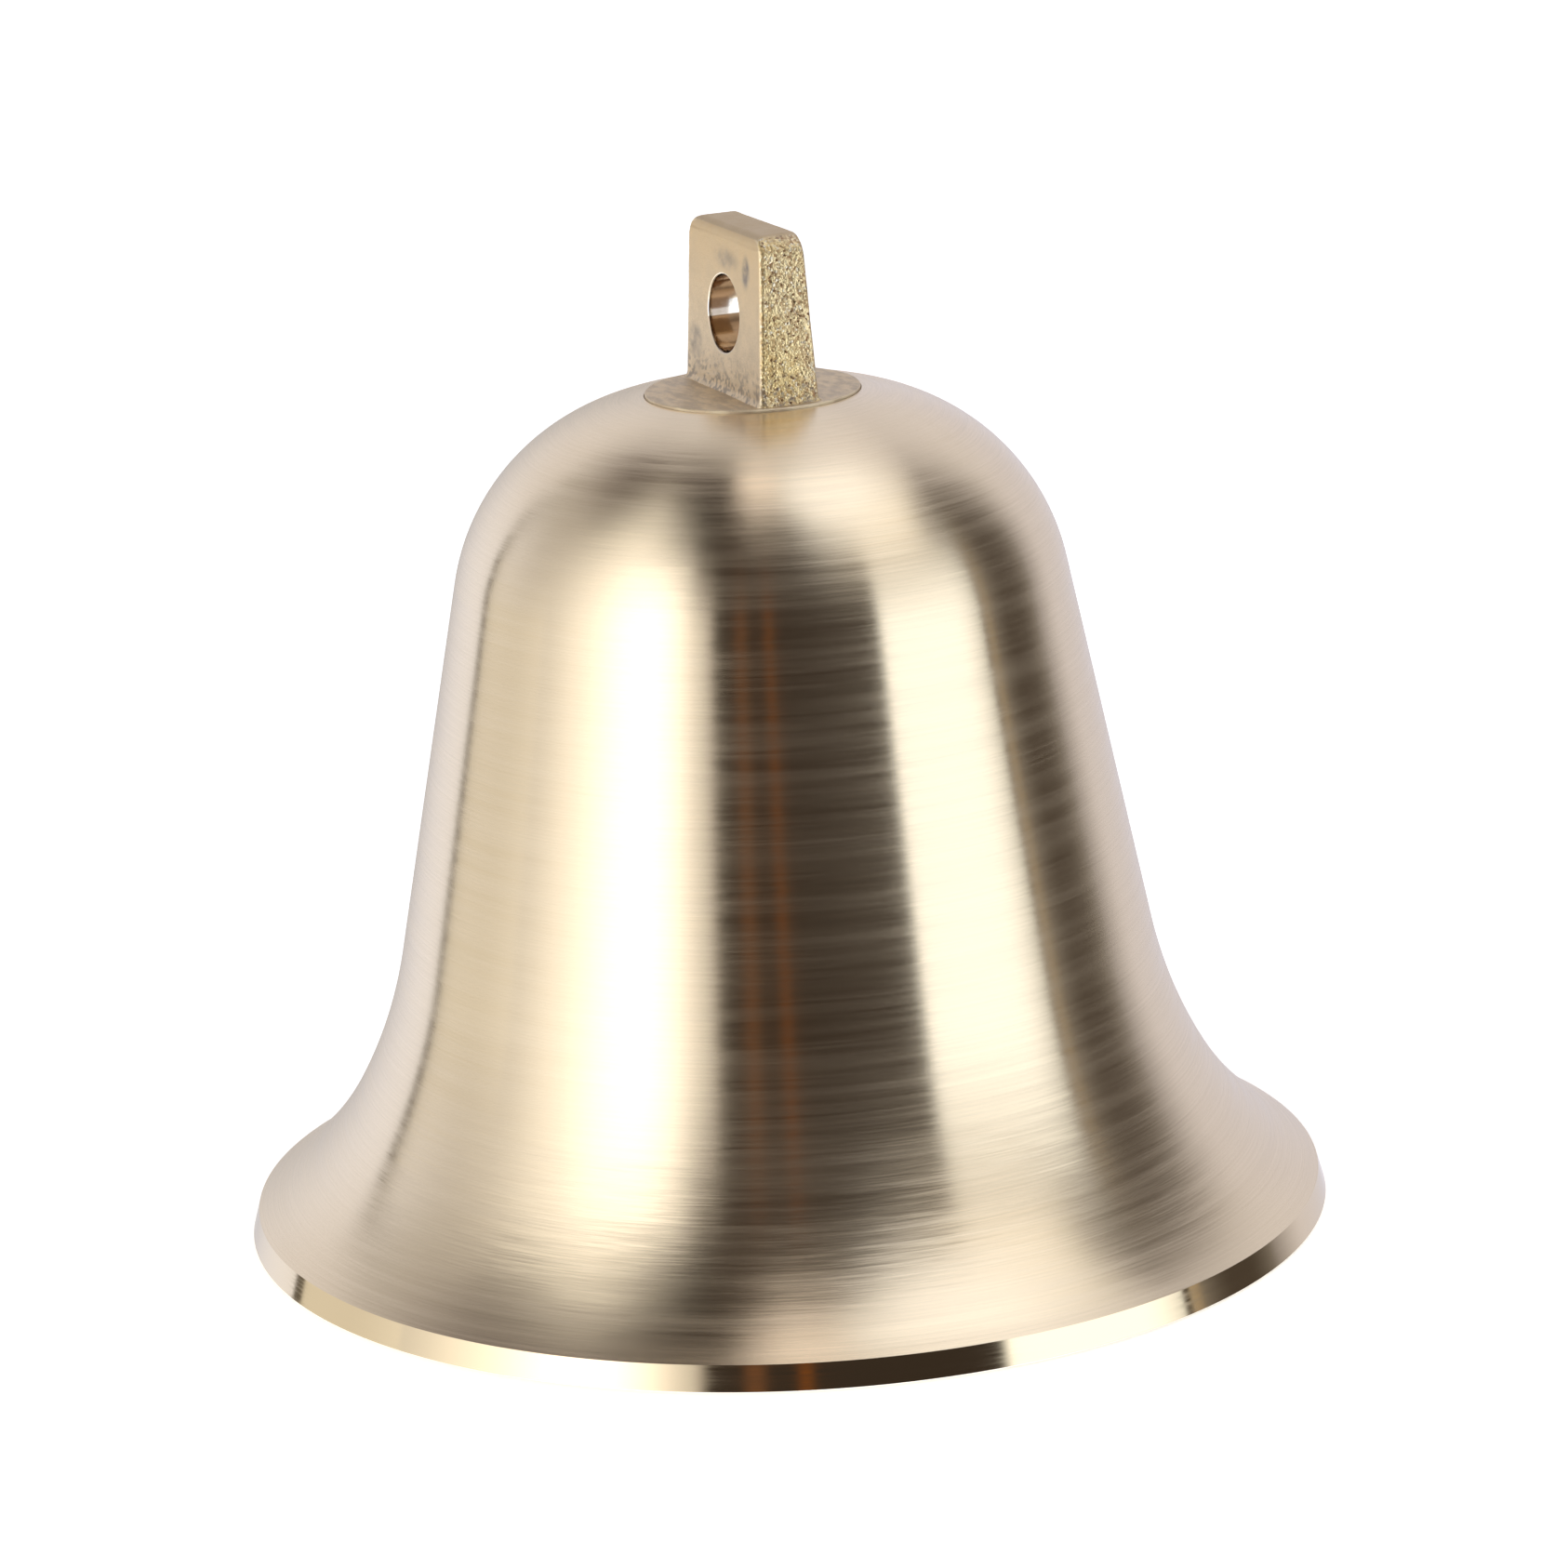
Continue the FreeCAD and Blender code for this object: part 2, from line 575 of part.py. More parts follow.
def clapper_stem():
    """The clapper's stem: a flat eye, a tapered shank, a collar and a threaded spigot."""
    collar_bottom = BALL_HEIGHT + math.sqrt(BALL_RADIUS**2 - CLAPPER_COLLAR_RADIUS**2)
    collar_top = collar_bottom + CLAPPER_COLLAR_THICKNESS
    shank_top = PIVOT_HEIGHT - CLAPPER_EYE_RADIUS + CLAPPER_SHANK_ROOT
    spigot_bottom = END_NUT_BOTTOM - SPIGOT_END_BELOW_NUT
    thread_top = BALL_HEIGHT - END_NUT_RECESS_ROOF + 2 * SPIGOT_PITCH
    shank = turned_points(
        [
            (0, thread_top),
            (SPIGOT_RADIUS, thread_top),
            (SPIGOT_RADIUS, collar_bottom),
            (CLAPPER_COLLAR_RADIUS, collar_bottom),
            (CLAPPER_COLLAR_RADIUS, collar_top - CLAPPER_COLLAR_CHAMFER),
            (CLAPPER_COLLAR_RADIUS - CLAPPER_COLLAR_CHAMFER, collar_top),
            (CLAPPER_SHANK_RADIUS, collar_top + CLAPPER_COLLAR_RADIUS - CLAPPER_SHANK_RADIUS),
            (CLAPPER_NECK_RADIUS, shank_top),
            (0, shank_top),
        ]
    )
    spigot = threaded_rod(
        SPIGOT_RADIUS, SPIGOT_ROOT_RADIUS, SPIGOT_PITCH, spigot_bottom, thread_top
    )
    half = CLAPPER_EYE_THICKNESS / 2
    eye = rod_along_y(CLAPPER_EYE_RADIUS, -half, half, PIVOT_HEIGHT)
    stem = shank.fuse([spigot, eye]).removeSplitter()
    return stem.cut(rod_along_y(BUSH_RADIUS + BUSH_FIT, -half, half, PIVOT_HEIGHT))


def clapper_bush():
    """A plain bearing bush in the clapper's eye, a little longer than the eye is thick."""
    half = CLAPPER_EYE_THICKNESS / 2 + BUSH_PROUD
    outer = rod_along_y(BUSH_RADIUS, -half, half, PIVOT_HEIGHT)
    return outer.cut(rod_along_y(BUSH_HOLE_RADIUS, -half, half, PIVOT_HEIGHT))


def clapper_ball():
    """The striking ball, bored for the spigot, with a recess below for the nut."""
    centre = Vector(0, 0, BALL_HEIGHT)
    ball = Part.makeSphere(BALL_RADIUS, centre)
    bore = Part.makeCylinder(
        BALL_BORE_RADIUS, 3 * BALL_RADIUS, centre - Z_AXIS * 1.5 * BALL_RADIUS, Z_AXIS
    )
    recess = Part.makeCylinder(
        END_NUT_RECESS_RADIUS,
        BALL_RADIUS,
        centre - Z_AXIS * (END_NUT_RECESS_ROOF + BALL_RADIUS),
        Z_AXIS,
    )
    collar_seat = Part.makeCylinder(
        BALL_RADIUS,
        BALL_RADIUS,
        centre + Z_AXIS * math.sqrt(BALL_RADIUS**2 - CLAPPER_COLLAR_RADIUS**2),
        Z_AXIS,
    )
    return ball.cut(bore.fuse([recess, collar_seat]))


def clapper_washer():
    return ring(
        END_WASHER_RADIUS, BALL_BORE_RADIUS, END_WASHER_BOTTOM, END_WASHER_THICKNESS
    )


def clapper_nut():
    return hex_nut(
        END_NUT_ACROSS_FLATS, END_NUT_HEIGHT, BALL_BORE_RADIUS, END_NUT_BOTTOM
    )


SUB_PARTS = [
    bell_shell,
    hanging_lug,
    crown_leather_washer,
    crown_flat_washer,
    crown_lock_washer,
    crown_nut,
    clapper_clevis,
    pivot_pin,
    shim_front,
    shim_back,
    pivot_washer,
    pivot_split_pin,
    clapper_stem,
    clapper_bush,
    clapper_ball,
    clapper_washer,
    clapper_nut,
]


def main():
    os.makedirs("parts", exist_ok=True)
    for make in SUB_PARTS:
        shape = make()
        box = shape.BoundBox
        print(
            f"{make.__name__}: valid {shape.isValid()}, solids {len(shape.Solids)}, "
            f"{shape.Volume / 1000:.2f} cm3, z {box.ZMin:.2f} to {box.ZMax:.2f}"
        )
        shape.exportStep(f"parts/{make.__name__}.step")
    print(f"crown edge at radius {CROWN_EDGE.x:.2f}, height {CROWN_EDGE.z:.2f}")
    print(f"pivot height {PIVOT_HEIGHT:.2f}, hang hole {FLANGE_TOP + HANG_HOLE_HEIGHT:.2f}")


main()
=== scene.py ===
"""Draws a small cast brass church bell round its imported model, and the studio that it stands in.

Everything is in metres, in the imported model's frame: +Z is the bell's axis and the mouth stands on
z = 0. The hanging lug's hole and the clapper's pivot pin run along Y.
"""

from math import pi, radians

import bmesh
import bpy
import numpy as np
from bpy.props import FloatProperty, FloatVectorProperty, IntProperty, PointerProperty
from bpy.types import Operator, Panel, PropertyGroup
from mathutils import Matrix, Vector


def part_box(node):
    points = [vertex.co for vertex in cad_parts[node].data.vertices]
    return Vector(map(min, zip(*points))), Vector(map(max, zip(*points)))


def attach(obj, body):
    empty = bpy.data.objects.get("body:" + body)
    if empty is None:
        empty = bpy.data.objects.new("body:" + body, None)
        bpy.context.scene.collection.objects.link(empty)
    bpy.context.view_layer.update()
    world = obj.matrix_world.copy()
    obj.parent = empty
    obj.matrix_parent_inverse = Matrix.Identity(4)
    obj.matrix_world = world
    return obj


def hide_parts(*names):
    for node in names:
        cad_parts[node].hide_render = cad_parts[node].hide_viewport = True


bl_info = {
    "name": "Church bell",
    "version": (1, 0, 0),
    "blender": (4, 5, 0),
    "location": "3D View > Sidebar > Bell",
    "description": "A cast brass bell with a brushed waist, a polished lip and a sand-cast lug",
    "category": "Add Mesh",
}

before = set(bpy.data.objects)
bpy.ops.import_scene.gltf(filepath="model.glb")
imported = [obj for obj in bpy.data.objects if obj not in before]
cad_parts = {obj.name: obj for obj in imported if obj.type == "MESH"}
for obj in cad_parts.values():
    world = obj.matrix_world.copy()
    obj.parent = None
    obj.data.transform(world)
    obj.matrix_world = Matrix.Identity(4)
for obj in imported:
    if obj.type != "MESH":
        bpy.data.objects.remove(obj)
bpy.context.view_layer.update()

SHELL_LOW, SHELL_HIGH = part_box("bell_shell")
LUG_LOW, LUG_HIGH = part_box("hanging_lug")
BALL_LOW, BALL_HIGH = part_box("clapper_ball")
MM = 0.001


# ---- colours -------------------------------------------------------------------------------------


def linear(hex_colour):
    """An sRGB hex colour as linear red, green and blue: the standard curve, undone."""
    channels = np.array([int(hex_colour[k : k + 2], 16) for k in (1, 3, 5)]) / 255
    low = channels / 12.92
    high = ((channels + 0.055) / 1.055) ** 2.4
    return tuple(float(v) for v in np.where(channels <= 0.04045, low, high))


def colour_property(name, description, hex_colour):
    """A colour that the user can change."""
    return FloatVectorProperty(
        name=name,
        description=description,
        default=linear(hex_colour),
        subtype="COLOR",
        size=3,
        min=0,
        max=1,
    )


def length_property(name, description, metres):
    """A length that the user can change, in metres."""
    return FloatProperty(
        name=name, description=description, default=metres, unit="LENGTH", precision=5
    )


def angle_property(name, description, degrees):
    """An angle that the user can change, given here in degrees."""
    return FloatProperty(
        name=name, description=description, default=radians(degrees), unit="ROTATION"
    )


# ---- settings ------------------------------------------------------------------------------------


class BellBodySettings(PropertyGroup):
    """Sizes and colours of the turned bell. Slopes are from the vertical, leaning inwards."""

    lip_radius: length_property("Lip radius", "Radius at the foot of the lip band", SHELL_HIGH.x)
    band_top_radius: length_property("Band top radius", "Radius at the lip band's top", 49.36 * MM)
    band_height: length_property("Band height", "Height of the polished lip band", 2.5 * MM)
    lip_edge: length_property("Lip edge", "Size of the broken edge at the foot", 0.25 * MM)
    flare_slope: angle_property("Flare slope", "Slope where the flare meets the band", 58.5)
    flare_radius: length_property("Flare radius", "Radius of the flare's lower arc", 28 * MM)
    flare_middle_slope: angle_property("Middle slope", "Slope between the flare's arcs", 29.7)
    flare_upper_radius: length_property("Upper radius", "Radius of the flare's upper arc", 45 * MM)
    waist_slope: angle_property("Waist slope", "Slope of the straight waist", 11.1)
    waist_length: length_property("Waist length", "Length of the straight waist", 35.2 * MM)
    shoulder_radius: length_property("Shoulder radius", "Radius of the shoulder's arc", 20.5 * MM)
    crown_slope: angle_property("Crown slope", "Slope where the crown meets the lug", 84)
    wall: length_property("Wall", "Wall thickness at the waist", 2.9 * MM)
    bow_radius: length_property("Sound bow", "Radius of the inside of the sound bow", 24 * MM)
    inner_lip_slope: angle_property("Inner lip slope", "Slope inside the lip", 58)
    inner_lip_height: length_property("Inner bevel", "Height of the bevel inside the lip", 0.6 * MM)
    seat_radius: length_property("Seat radius", "Radius of the lug's seat in the crown", 9.82 * MM)
    seat_depth: length_property("Seat depth", "Depth of the lug's seat", 1.2 * MM)
    boss_radius: length_property("Boss radius", "Radius of the flat inside the crown", 10.6 * MM)
    stud_hole: length_property("Stud hole", "Radius of the hole through the crown", 4.2 * MM)
    crown_thickness: length_property("Crown thickness", "Metal under the lug's seat", 3.6 * MM)
    steps_around: IntProperty(name="Steps", description="Steps round the bell", default=320)
    brass: colour_property("Brushed brass", "Colour of the brushed outside", "#F7E5C6")
    lip_brass: colour_property("Polished brass", "Colour of the polished lip", "#F4E0BC")
    inner_brass: colour_property("Inner brass", "Colour of the turned inside", "#C9AC7C")


class BellLugSettings(PropertyGroup):
    """Sizes and colours of the cast hanging lug."""

    base_width: length_property("Base width", "Plate's width at the flange", 16.9 * MM)
    top_width: length_property("Top width", "Plate's width at its top", 16.1 * MM)
    base_thickness: length_property("Base thickness", "Plate's thickness at the flange", 5.8 * MM)
    top_thickness: length_property("Top thickness", "Plate's thickness at its top", 4.2 * MM)
    height: length_property("Height", "Plate's height above the flange", 15 * MM)
    corner: length_property("Corner", "Radius of the plate's top corners", 2 * MM)
    edge: length_property("Edge", "Radius of the plate's cast edges", 0.42 * MM)
    top_edge: length_property("Top edge", "Radius of the top's front edge", 1.1 * MM)
    hole_radius: length_property("Hole radius", "Radius of the hanging hole", 3.5 * MM)
    hole_edge: length_property("Hole edge", "Rounding of the hole's edges", 0.22 * MM)
    hole_height: length_property("Hole height", "Hole's centre above the flange", 7.1 * MM)
    flange_radius: length_property("Flange radius", "Radius of the flange", LUG_HIGH.x)
    flange_thickness: length_property("Flange thickness", "Thickness of the flange", 1.5 * MM)
    stud_radius: length_property("Stud radius", "Radius of the stud's thread", 3.95 * MM)
    stud_pitch: length_property("Stud pitch", "Pitch of the stud's thread", 1.25 * MM)
    face_brass: colour_property("Face", "Colour of the broad cast faces", "#EFDDC0")
    # Painted highlight: the lighter colour painted on the grain's crests.
    grain_highlight: colour_property("Bright grain", "Colour of the grain's crests", "#FDE6B2")
    grain_gilt: colour_property("Golden grain", "Colour of the grain's cleaner patches", "#FFE29A")
    # Painted shade: the darker colour painted in the grain's pits, and at half brightness in random
    # pitted cells.
    grain_dark: colour_property("Dark grain", "Colour of the grain's pits", "#B48A62")
    stain: colour_property("Stain", "Colour of the grey stains", "#A0958A")
    bore_brass: colour_property("Drilled brass", "Colour inside the hanging hole", "#FDF6EA")
    # Rubbed wear on the plate's edges, and also painted as glints on random facets and as a
    # highlight along the flange's edge.
    worn_and_highlight_brass: colour_property("Worn edges", "Colour of the edges rubbed bright", "#FFF2D4")
    grease: colour_property("Dried grease", "Colour of the grease low in the hole", "#94775A")


class BellClapperSettings(PropertyGroup):
    """Sizes and colours of the clapper and of the fittings that hold it."""

    ball_radius: length_property("Ball radius", "Radius of the striking ball", BALL_HIGH.x)
    ball_height: length_property("Ball height", "Height of the ball's centre", 13.2 * MM)
    ball_bore: length_property("Ball bore", "Radius of the hole through the ball", 2.05 * MM)
    collar_radius: length_property("Collar seat", "Radius of the flat on top of the ball", 3.9 * MM)
    recess_radius: length_property("Recess radius", "Radius of the nut's recess", 4.6 * MM)
    recess_roof: length_property("Recess roof", "Recess roof below the ball's centre", 5.6 * MM)
    brass: colour_property("Machined brass", "Colour of the ball and the clevis", "#E6C78D")
    zinc: colour_property("Zinc plate", "Colour of the plated fasteners", "#C9CCCF")
    steel: colour_property("Turned steel", "Colour of the stem and the pin", "#B4B2AE")
    leather: colour_property("Leather", "Colour of the oiled leather washer", "#6B4A30")


class BellStudioSettings(PropertyGroup):
    """The camera, the floor and the light."""

    camera_azimuth: angle_property("Camera azimuth", "Camera's place round the bell", 66.93)
    camera_distance: length_property("Camera distance", "From the bell's axis", 530.46 * MM)
    camera_height: length_property("Camera height", "Above the floor", 187.45 * MM)
    camera_yaw: angle_property("Camera yaw", "Camera's turn off the bell's axis", 0.134)
    camera_pitch: angle_property("Camera pitch", "How far the camera looks down", 15.51)
    camera_roll: angle_property("Camera roll", "How far the camera is tilted", -2.57)
    lens: FloatProperty(name="Lens", description="Focal length in millimetres", default=137.72)
    floor_size: length_property("Floor size", "Side of the square floor", 12)
    floor_colour: colour_property("Floor", "Colour of the paper floor", "#F6F5F3")
    wall_light: colour_property("Wall light", "Light from the studio's pale walls", "#FBF8FA")
    light: FloatProperty(name="Light", description="Strength of all the light", default=1.0)


# ---- surfaces ------------------------------------------------------------------------------------


def grid_mesh(name, points, uv, wrap_across=True, slots=None):
    """A mesh over a grid of points that is closed round its first axis, and across it if asked.

    points is (round, across, 3) and uv (round + 1, across + 1, 2), so that the seams have their own
    texture places. Each face joins a point, its neighbour across, the one after both, and its
    neighbour round, so faces point outwards when across runs clockwise seen from the first axis.
    """
    rounds, across = points.shape[:2]
    columns = across if wrap_across else across - 1
    here, there = np.meshgrid(np.arange(rounds), np.arange(columns), indexing="ij")
    next_round = (here + 1) % rounds
    next_across = (there + 1) % across
    corners = [(here, there), (next_round, there), (next_round, next_across), (here, next_across)]
    quads = np.stack([i * across + j for i, j in corners], -1).reshape(-1, 4)
    flat = [(here, there), (here + 1, there), (here + 1, there + 1), (here, there + 1)]
    places = np.stack([uv[i, j] for i, j in flat], -2).reshape(-1, 2)
    mesh = bpy.data.meshes.new(name)
    mesh.vertices.add(rounds * across)
    mesh.vertices.foreach_set("co", points.reshape(-1).astype(np.float32))
    mesh.loops.add(quads.size)
    mesh.loops.foreach_set("vertex_index", quads.reshape(-1).astype(np.int32))
    mesh.polygons.add(len(quads))
    mesh.polygons.foreach_set("loop_start", np.arange(0, quads.size, 4, dtype=np.int32))
    if slots is not None:
        per_face = np.broadcast_to(slots[None, :columns], (rounds, columns))
        mesh.polygons.foreach_set("material_index", per_face.reshape(-1).astype(np.int32))
    layer = mesh.uv_layers.new(name="surface")
    layer.data.foreach_set("uv", places.reshape(-1).astype(np.float32))
    mesh.update(calc_edges=True)
    return mesh


def weld(mesh):
    """Joins points that coincide, as at a pole, and drops the faces that this leaves flat."""
    work = bmesh.new()
    work.from_mesh(mesh)
    bmesh.ops.remove_doubles(work, verts=work.verts, dist=1e-7)
    bmesh.ops.dissolve_degenerate(work, edges=work.edges, dist=1e-8)
    work.to_mesh(mesh)
    work.free()


def place_piece(mesh, body, replaced, materials, sharp_degrees=28):
    """Puts a finished mesh in the scene as a piece that rides on a body."""
    mesh.shade_smooth()
    mesh.set_sharp_from_angle(angle=radians(sharp_degrees))
    for material in materials:
        mesh.materials.append(material)
    piece = bpy.data.objects.new(mesh.name, mesh)
    bpy.context.scene.collection.objects.link(piece)
    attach(piece, body)
    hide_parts(replaced)
    return piece


def lengths_along(outline):
    """The distance run along an outline up to each of its points."""
    steps = np.linalg.norm(np.diff(outline, axis=0), axis=1)
    return np.concatenate([[0], np.cumsum(steps)])


def turned_grid(outline, steps):
    """An outline of (radius, height) points turned about Z: radius times cosine, radius times sine.

    Also gives the texture places: u is the share of the turn, v the distance along the outline.
    """
    turn = np.linspace(0, 2 * pi, steps, endpoint=False)[:, None]
    radius = outline[None, :, 0]
    height = np.broadcast_to(outline[None, :, 1], (steps, len(outline)))
    points = np.stack([radius * np.cos(turn), radius * np.sin(turn), height], -1)
    closed = np.concatenate([outline, outline[:1]])
    u = np.linspace(0, 1, steps + 1)[:, None]
    v = lengths_along(closed)[None, :]
    uv = np.stack(np.broadcast_arrays(u, v), -1)
    return points, uv


def straight(start, end, spacing):
    """Evenly spaced points from start up to, but without, end."""
    count = max(2, int(np.ceil(np.linalg.norm(end - start) / spacing)))
    return start + (end - start) * np.linspace(0, 1, count, endpoint=False)[:, None]


def tangent_arc(start, slope, radius, new_slope, spacing):
    """An arc's points, from start, without its end: as the heading turns evenly from slope to
    new_slope, each point is the start plus the radius times the change in the heading's cosine
    across, and in its sine upwards. Also gives the end."""
    side = 1 if new_slope > slope else -1
    count = max(4, int(np.ceil(radius * abs(new_slope - slope) / spacing)))
    heading = np.linspace(slope, new_slope, count + 1)
    across = side * radius * (np.cos(heading) - np.cos(slope))
    upwards = side * radius * (np.sin(heading) - np.sin(slope))
    points = start + np.stack([across, upwards], -1)
    return points[:-1], points[-1]


def quarter_round(count):
    """Cosines and sines of a quarter turn, without its ends."""
    angle = np.linspace(0, pi / 2, count + 2)[1:-1]
    return np.cos(angle), np.sin(angle)


def eased(x):
    """The smooth step 3x squared minus 2x cubed, held at 0 and 1 outside."""
    x = np.clip(x, 0, 1)
    return x * x * (3 - 2 * x)


# Large odd numbers that scatter a lattice corner's whole numbers over 64 bits.
CORNER_HASH = (73856093, 19349663, 83492791)
SEED_HASH = 2654435761
FOLD_HASH = 2246822519
LOW_BITS = 65535


def lattice_noise(points, cell, seed):
    """Smooth noise from -1 to 1: each corner of a lattice of cells has a hashed value, and a point
    takes the eased blend of the eight corners round it."""
    scaled = points / cell
    base = np.floor(scaled).astype(np.int64)
    share = eased(scaled - base)
    total = np.zeros(points.shape[:-1])
    for corner in range(8):
        bits = np.array([corner >> k & 1 for k in range(3)])
        where = (base + bits).astype(np.uint64)
        scattered = where * np.array(CORNER_HASH, np.uint64)
        mixed = np.bitwise_xor.reduce(scattered, axis=-1) ^ np.uint64(seed * SEED_HASH)
        mixed = (mixed ^ (mixed >> np.uint64(15))) * np.uint64(FOLD_HASH)
        mixed = mixed ^ (mixed >> np.uint64(13))
        value = (mixed & np.uint64(LOW_BITS)).astype(float) / (LOW_BITS / 2) - 1
        weight = np.where(bits == 1, share, 1 - share).prod(-1)
        total += weight * value
    return total


def grain_noise(points, cell, seed, octaves=3):
    """Lattice noise and its finer copies, each half the size and a little over half the height."""
    return sum(
        0.6**k * lattice_noise(points, cell / 2**k, seed + k) for k in range(octaves)
    )


def grid_normals(points):
    """Outward unit normals of a grid closed both ways: the cross product of its two differences."""
    along = np.roll(points, -1, 0) - np.roll(points, 1, 0)
    across = np.roll(points, -1, 1) - np.roll(points, 1, 1)
    normal = np.cross(along, across)
    return normal / np.maximum(np.linalg.norm(normal, axis=-1, keepdims=True), 1e-12)


def write_attribute(mesh, name, values):
    """Stores one number for each point, for a material to read."""
    layer = mesh.attributes.new(name, "FLOAT", "POINT")
    layer.data.foreach_set("value", np.ascontiguousarray(values, np.float32).reshape(-1))


# ---- the bell's outline --------------------------------------------------------------------------


def bell_outline(look):
    """The bell's closed outline, up the outside, down through the crown and back down the inside.

    Gives the (radius, height) points and each point's finish: 0 brushed, 1 polished, 2 turned.
    """
    spacing = 0.55 * MM
    band_foot = np.array([look.lip_radius, look.lip_edge])
    band_top = np.array([look.band_top_radius, look.band_height])
    lower, middle = tangent_arc(
        band_top, look.flare_slope, look.flare_radius, look.flare_middle_slope, spacing
    )
    upper, waist_foot = tangent_arc(
        middle, look.flare_middle_slope, look.flare_upper_radius, look.waist_slope, spacing
    )
    lean = np.array([-np.sin(look.waist_slope), np.cos(look.waist_slope)])
    waist_top = waist_foot + lean * look.waist_length
    shoulder, crown = tangent_arc(
        waist_top, look.waist_slope, look.shoulder_radius, look.crown_slope, spacing
    )
    seat_floor = crown[1] - look.seat_depth
    boss_face = seat_floor - look.crown_thickness
    seat = [
        crown,
        np.array([look.seat_radius, crown[1]]),
        np.array([look.seat_radius, seat_floor]),
        np.array([look.stud_hole, seat_floor]),
        np.array([look.stud_hole, boss_face]),
        np.array([look.boss_radius, boss_face]),
    ]
    inward = np.array([-np.cos(look.waist_slope), -np.sin(look.waist_slope)])
    inner_top = waist_top + inward * look.wall
    inner_radius = look.shoulder_radius - look.wall
    centre = inner_top + inward * inner_radius
    boss_slope = np.arccos((look.boss_radius - centre[0]) / inner_radius)
    inner_shoulder, inner_crown = tangent_arc(
        inner_top, look.waist_slope, inner_radius, boss_slope, 2 * spacing
    )
    change = np.sin(look.inner_lip_slope) - np.sin(look.waist_slope)
    bow_top_height = look.inner_lip_height + look.bow_radius * change
    run = (inner_top[1] - bow_top_height) / np.cos(look.waist_slope)
    bow_top = inner_top - lean * run
    depth = np.cos(look.waist_slope) - np.cos(look.inner_lip_slope)
    inner_lip = np.array([bow_top[0] + look.bow_radius * depth, look.inner_lip_height])
    bow, _ = tangent_arc(
        inner_lip, look.inner_lip_slope, look.bow_radius, look.waist_slope, 2 * spacing
    )
    inner_waist = straight(bow_top, inner_top, 2 * spacing)
    inside = np.concatenate([bow, inner_waist, inner_shoulder, inner_crown[None]])[::-1]
    foot = [
        np.array([inner_lip[0] + look.inner_lip_height, 0]),
        np.array([look.lip_radius - 2 * look.lip_edge, 0]),
    ]
    seat_runs = [straight(a, b, 4 * spacing) for a, b in zip(seat, seat[1:])]
    runs = [
        (straight(band_foot, band_top, spacing / 2), 1),
        (lower, 0),
        (upper, 0),
        (straight(waist_foot, waist_top, spacing), 0),
        (shoulder, 0),
        (np.concatenate(seat_runs + [seat[-1][None]]), 2),
        (inside, 2),
        (straight(foot[0], foot[1], spacing), 1),
        (straight(foot[1], band_foot, spacing), 1),
    ]
    outline = np.concatenate([points for points, _ in runs])
    finish = np.concatenate([np.full(len(points), kind) for points, kind in runs])
    return outline, finish


# ---- materials -----------------------------------------------------------------------------------


def add_node(tree, kind, sockets=None, **settings):
    """Adds a node, with its settings, and values or other nodes' outputs for its sockets.

    Sockets go by name or number. On a Map Range, 0 is the value, 1 and 2 its range and 3 and 4 the
    range it becomes. On a Mix, 0 is the share, and 2 and 3 are its numbers or 6 and 7 its colours.
    """
    node = tree.nodes.new(kind)
    for name, value in settings.items():
        setattr(node, name, value)
    for key, value in (sockets or {}).items():
        if isinstance(value, bpy.types.NodeSocket):
            tree.links.new(value, node.inputs[key])
        else:
            node.inputs[key].default_value = value
    return node


def new_material(name):
    """An empty node material, with its output node."""
    material = bpy.data.materials.new(name)
    material.use_nodes = True
    tree = material.node_tree
    tree.nodes.clear()
    output = add_node(tree, "ShaderNodeOutputMaterial")
    return material, tree, output


def opaque(colour):
    """A colour with full coverage, as colour sockets take it."""
    return (*colour, 1)


def ring_space(tree, round_scale, height_per_mm):
    """Texture space for marks that run round the axis: the direction round the axis, times
    round_scale, gives x and y, and the distance along the outline gives z. It has no seam."""
    place = add_node(tree, "ShaderNodeTexCoord").outputs["Object"]
    flat = add_node(tree, "ShaderNodeVectorMath", {0: place, 1: (1, 1, 0)}, operation="MULTIPLY")
    heading = add_node(tree, "ShaderNodeVectorMath", {0: flat.outputs[0]}, operation="NORMALIZE")
    spread = add_node(
        tree,
        "ShaderNodeVectorMath",
        {0: heading.outputs[0], "Scale": round_scale},
        operation="SCALE",
    )
    surface = add_node(tree, "ShaderNodeUVMap", uv_map="surface").outputs[0]
    length = add_node(tree, "ShaderNodeSeparateXYZ", {0: surface}).outputs["Y"]
    rise = add_node(
        tree, "ShaderNodeMath", {0: length, 1: height_per_mm / MM}, operation="MULTIPLY"
    )
    up = add_node(tree, "ShaderNodeCombineXYZ", {"Z": rise.outputs[0]})
    return add_node(
        tree, "ShaderNodeVectorMath", {0: spread.outputs[0], 1: up.outputs[0]}, operation="ADD"
    ).outputs[0]


def tilted_normal(tree, tangent, round_tilt, up_tilt):
    """The surface's normal leaned a little round the axis and a little along the outline, by two
    numbers that are the tangents of those small angles."""
    normal = add_node(tree, "ShaderNodeNewGeometry").outputs["Normal"]
    upwards = add_node(
        tree, "ShaderNodeVectorMath", {0: normal, 1: tangent}, operation="CROSS_PRODUCT"
    ).outputs[0]
    lean = normal
    for direction, tilt in ((tangent, round_tilt), (upwards, up_tilt)):
        part = add_node(
            tree, "ShaderNodeVectorMath", {0: direction, "Scale": tilt}, operation="SCALE"
        ).outputs[0]
        lean = add_node(
            tree, "ShaderNodeVectorMath", {0: lean, 1: part}, operation="ADD"
        ).outputs[0]
    return add_node(tree, "ShaderNodeVectorMath", {0: lean}, operation="NORMALIZE").outputs[0]


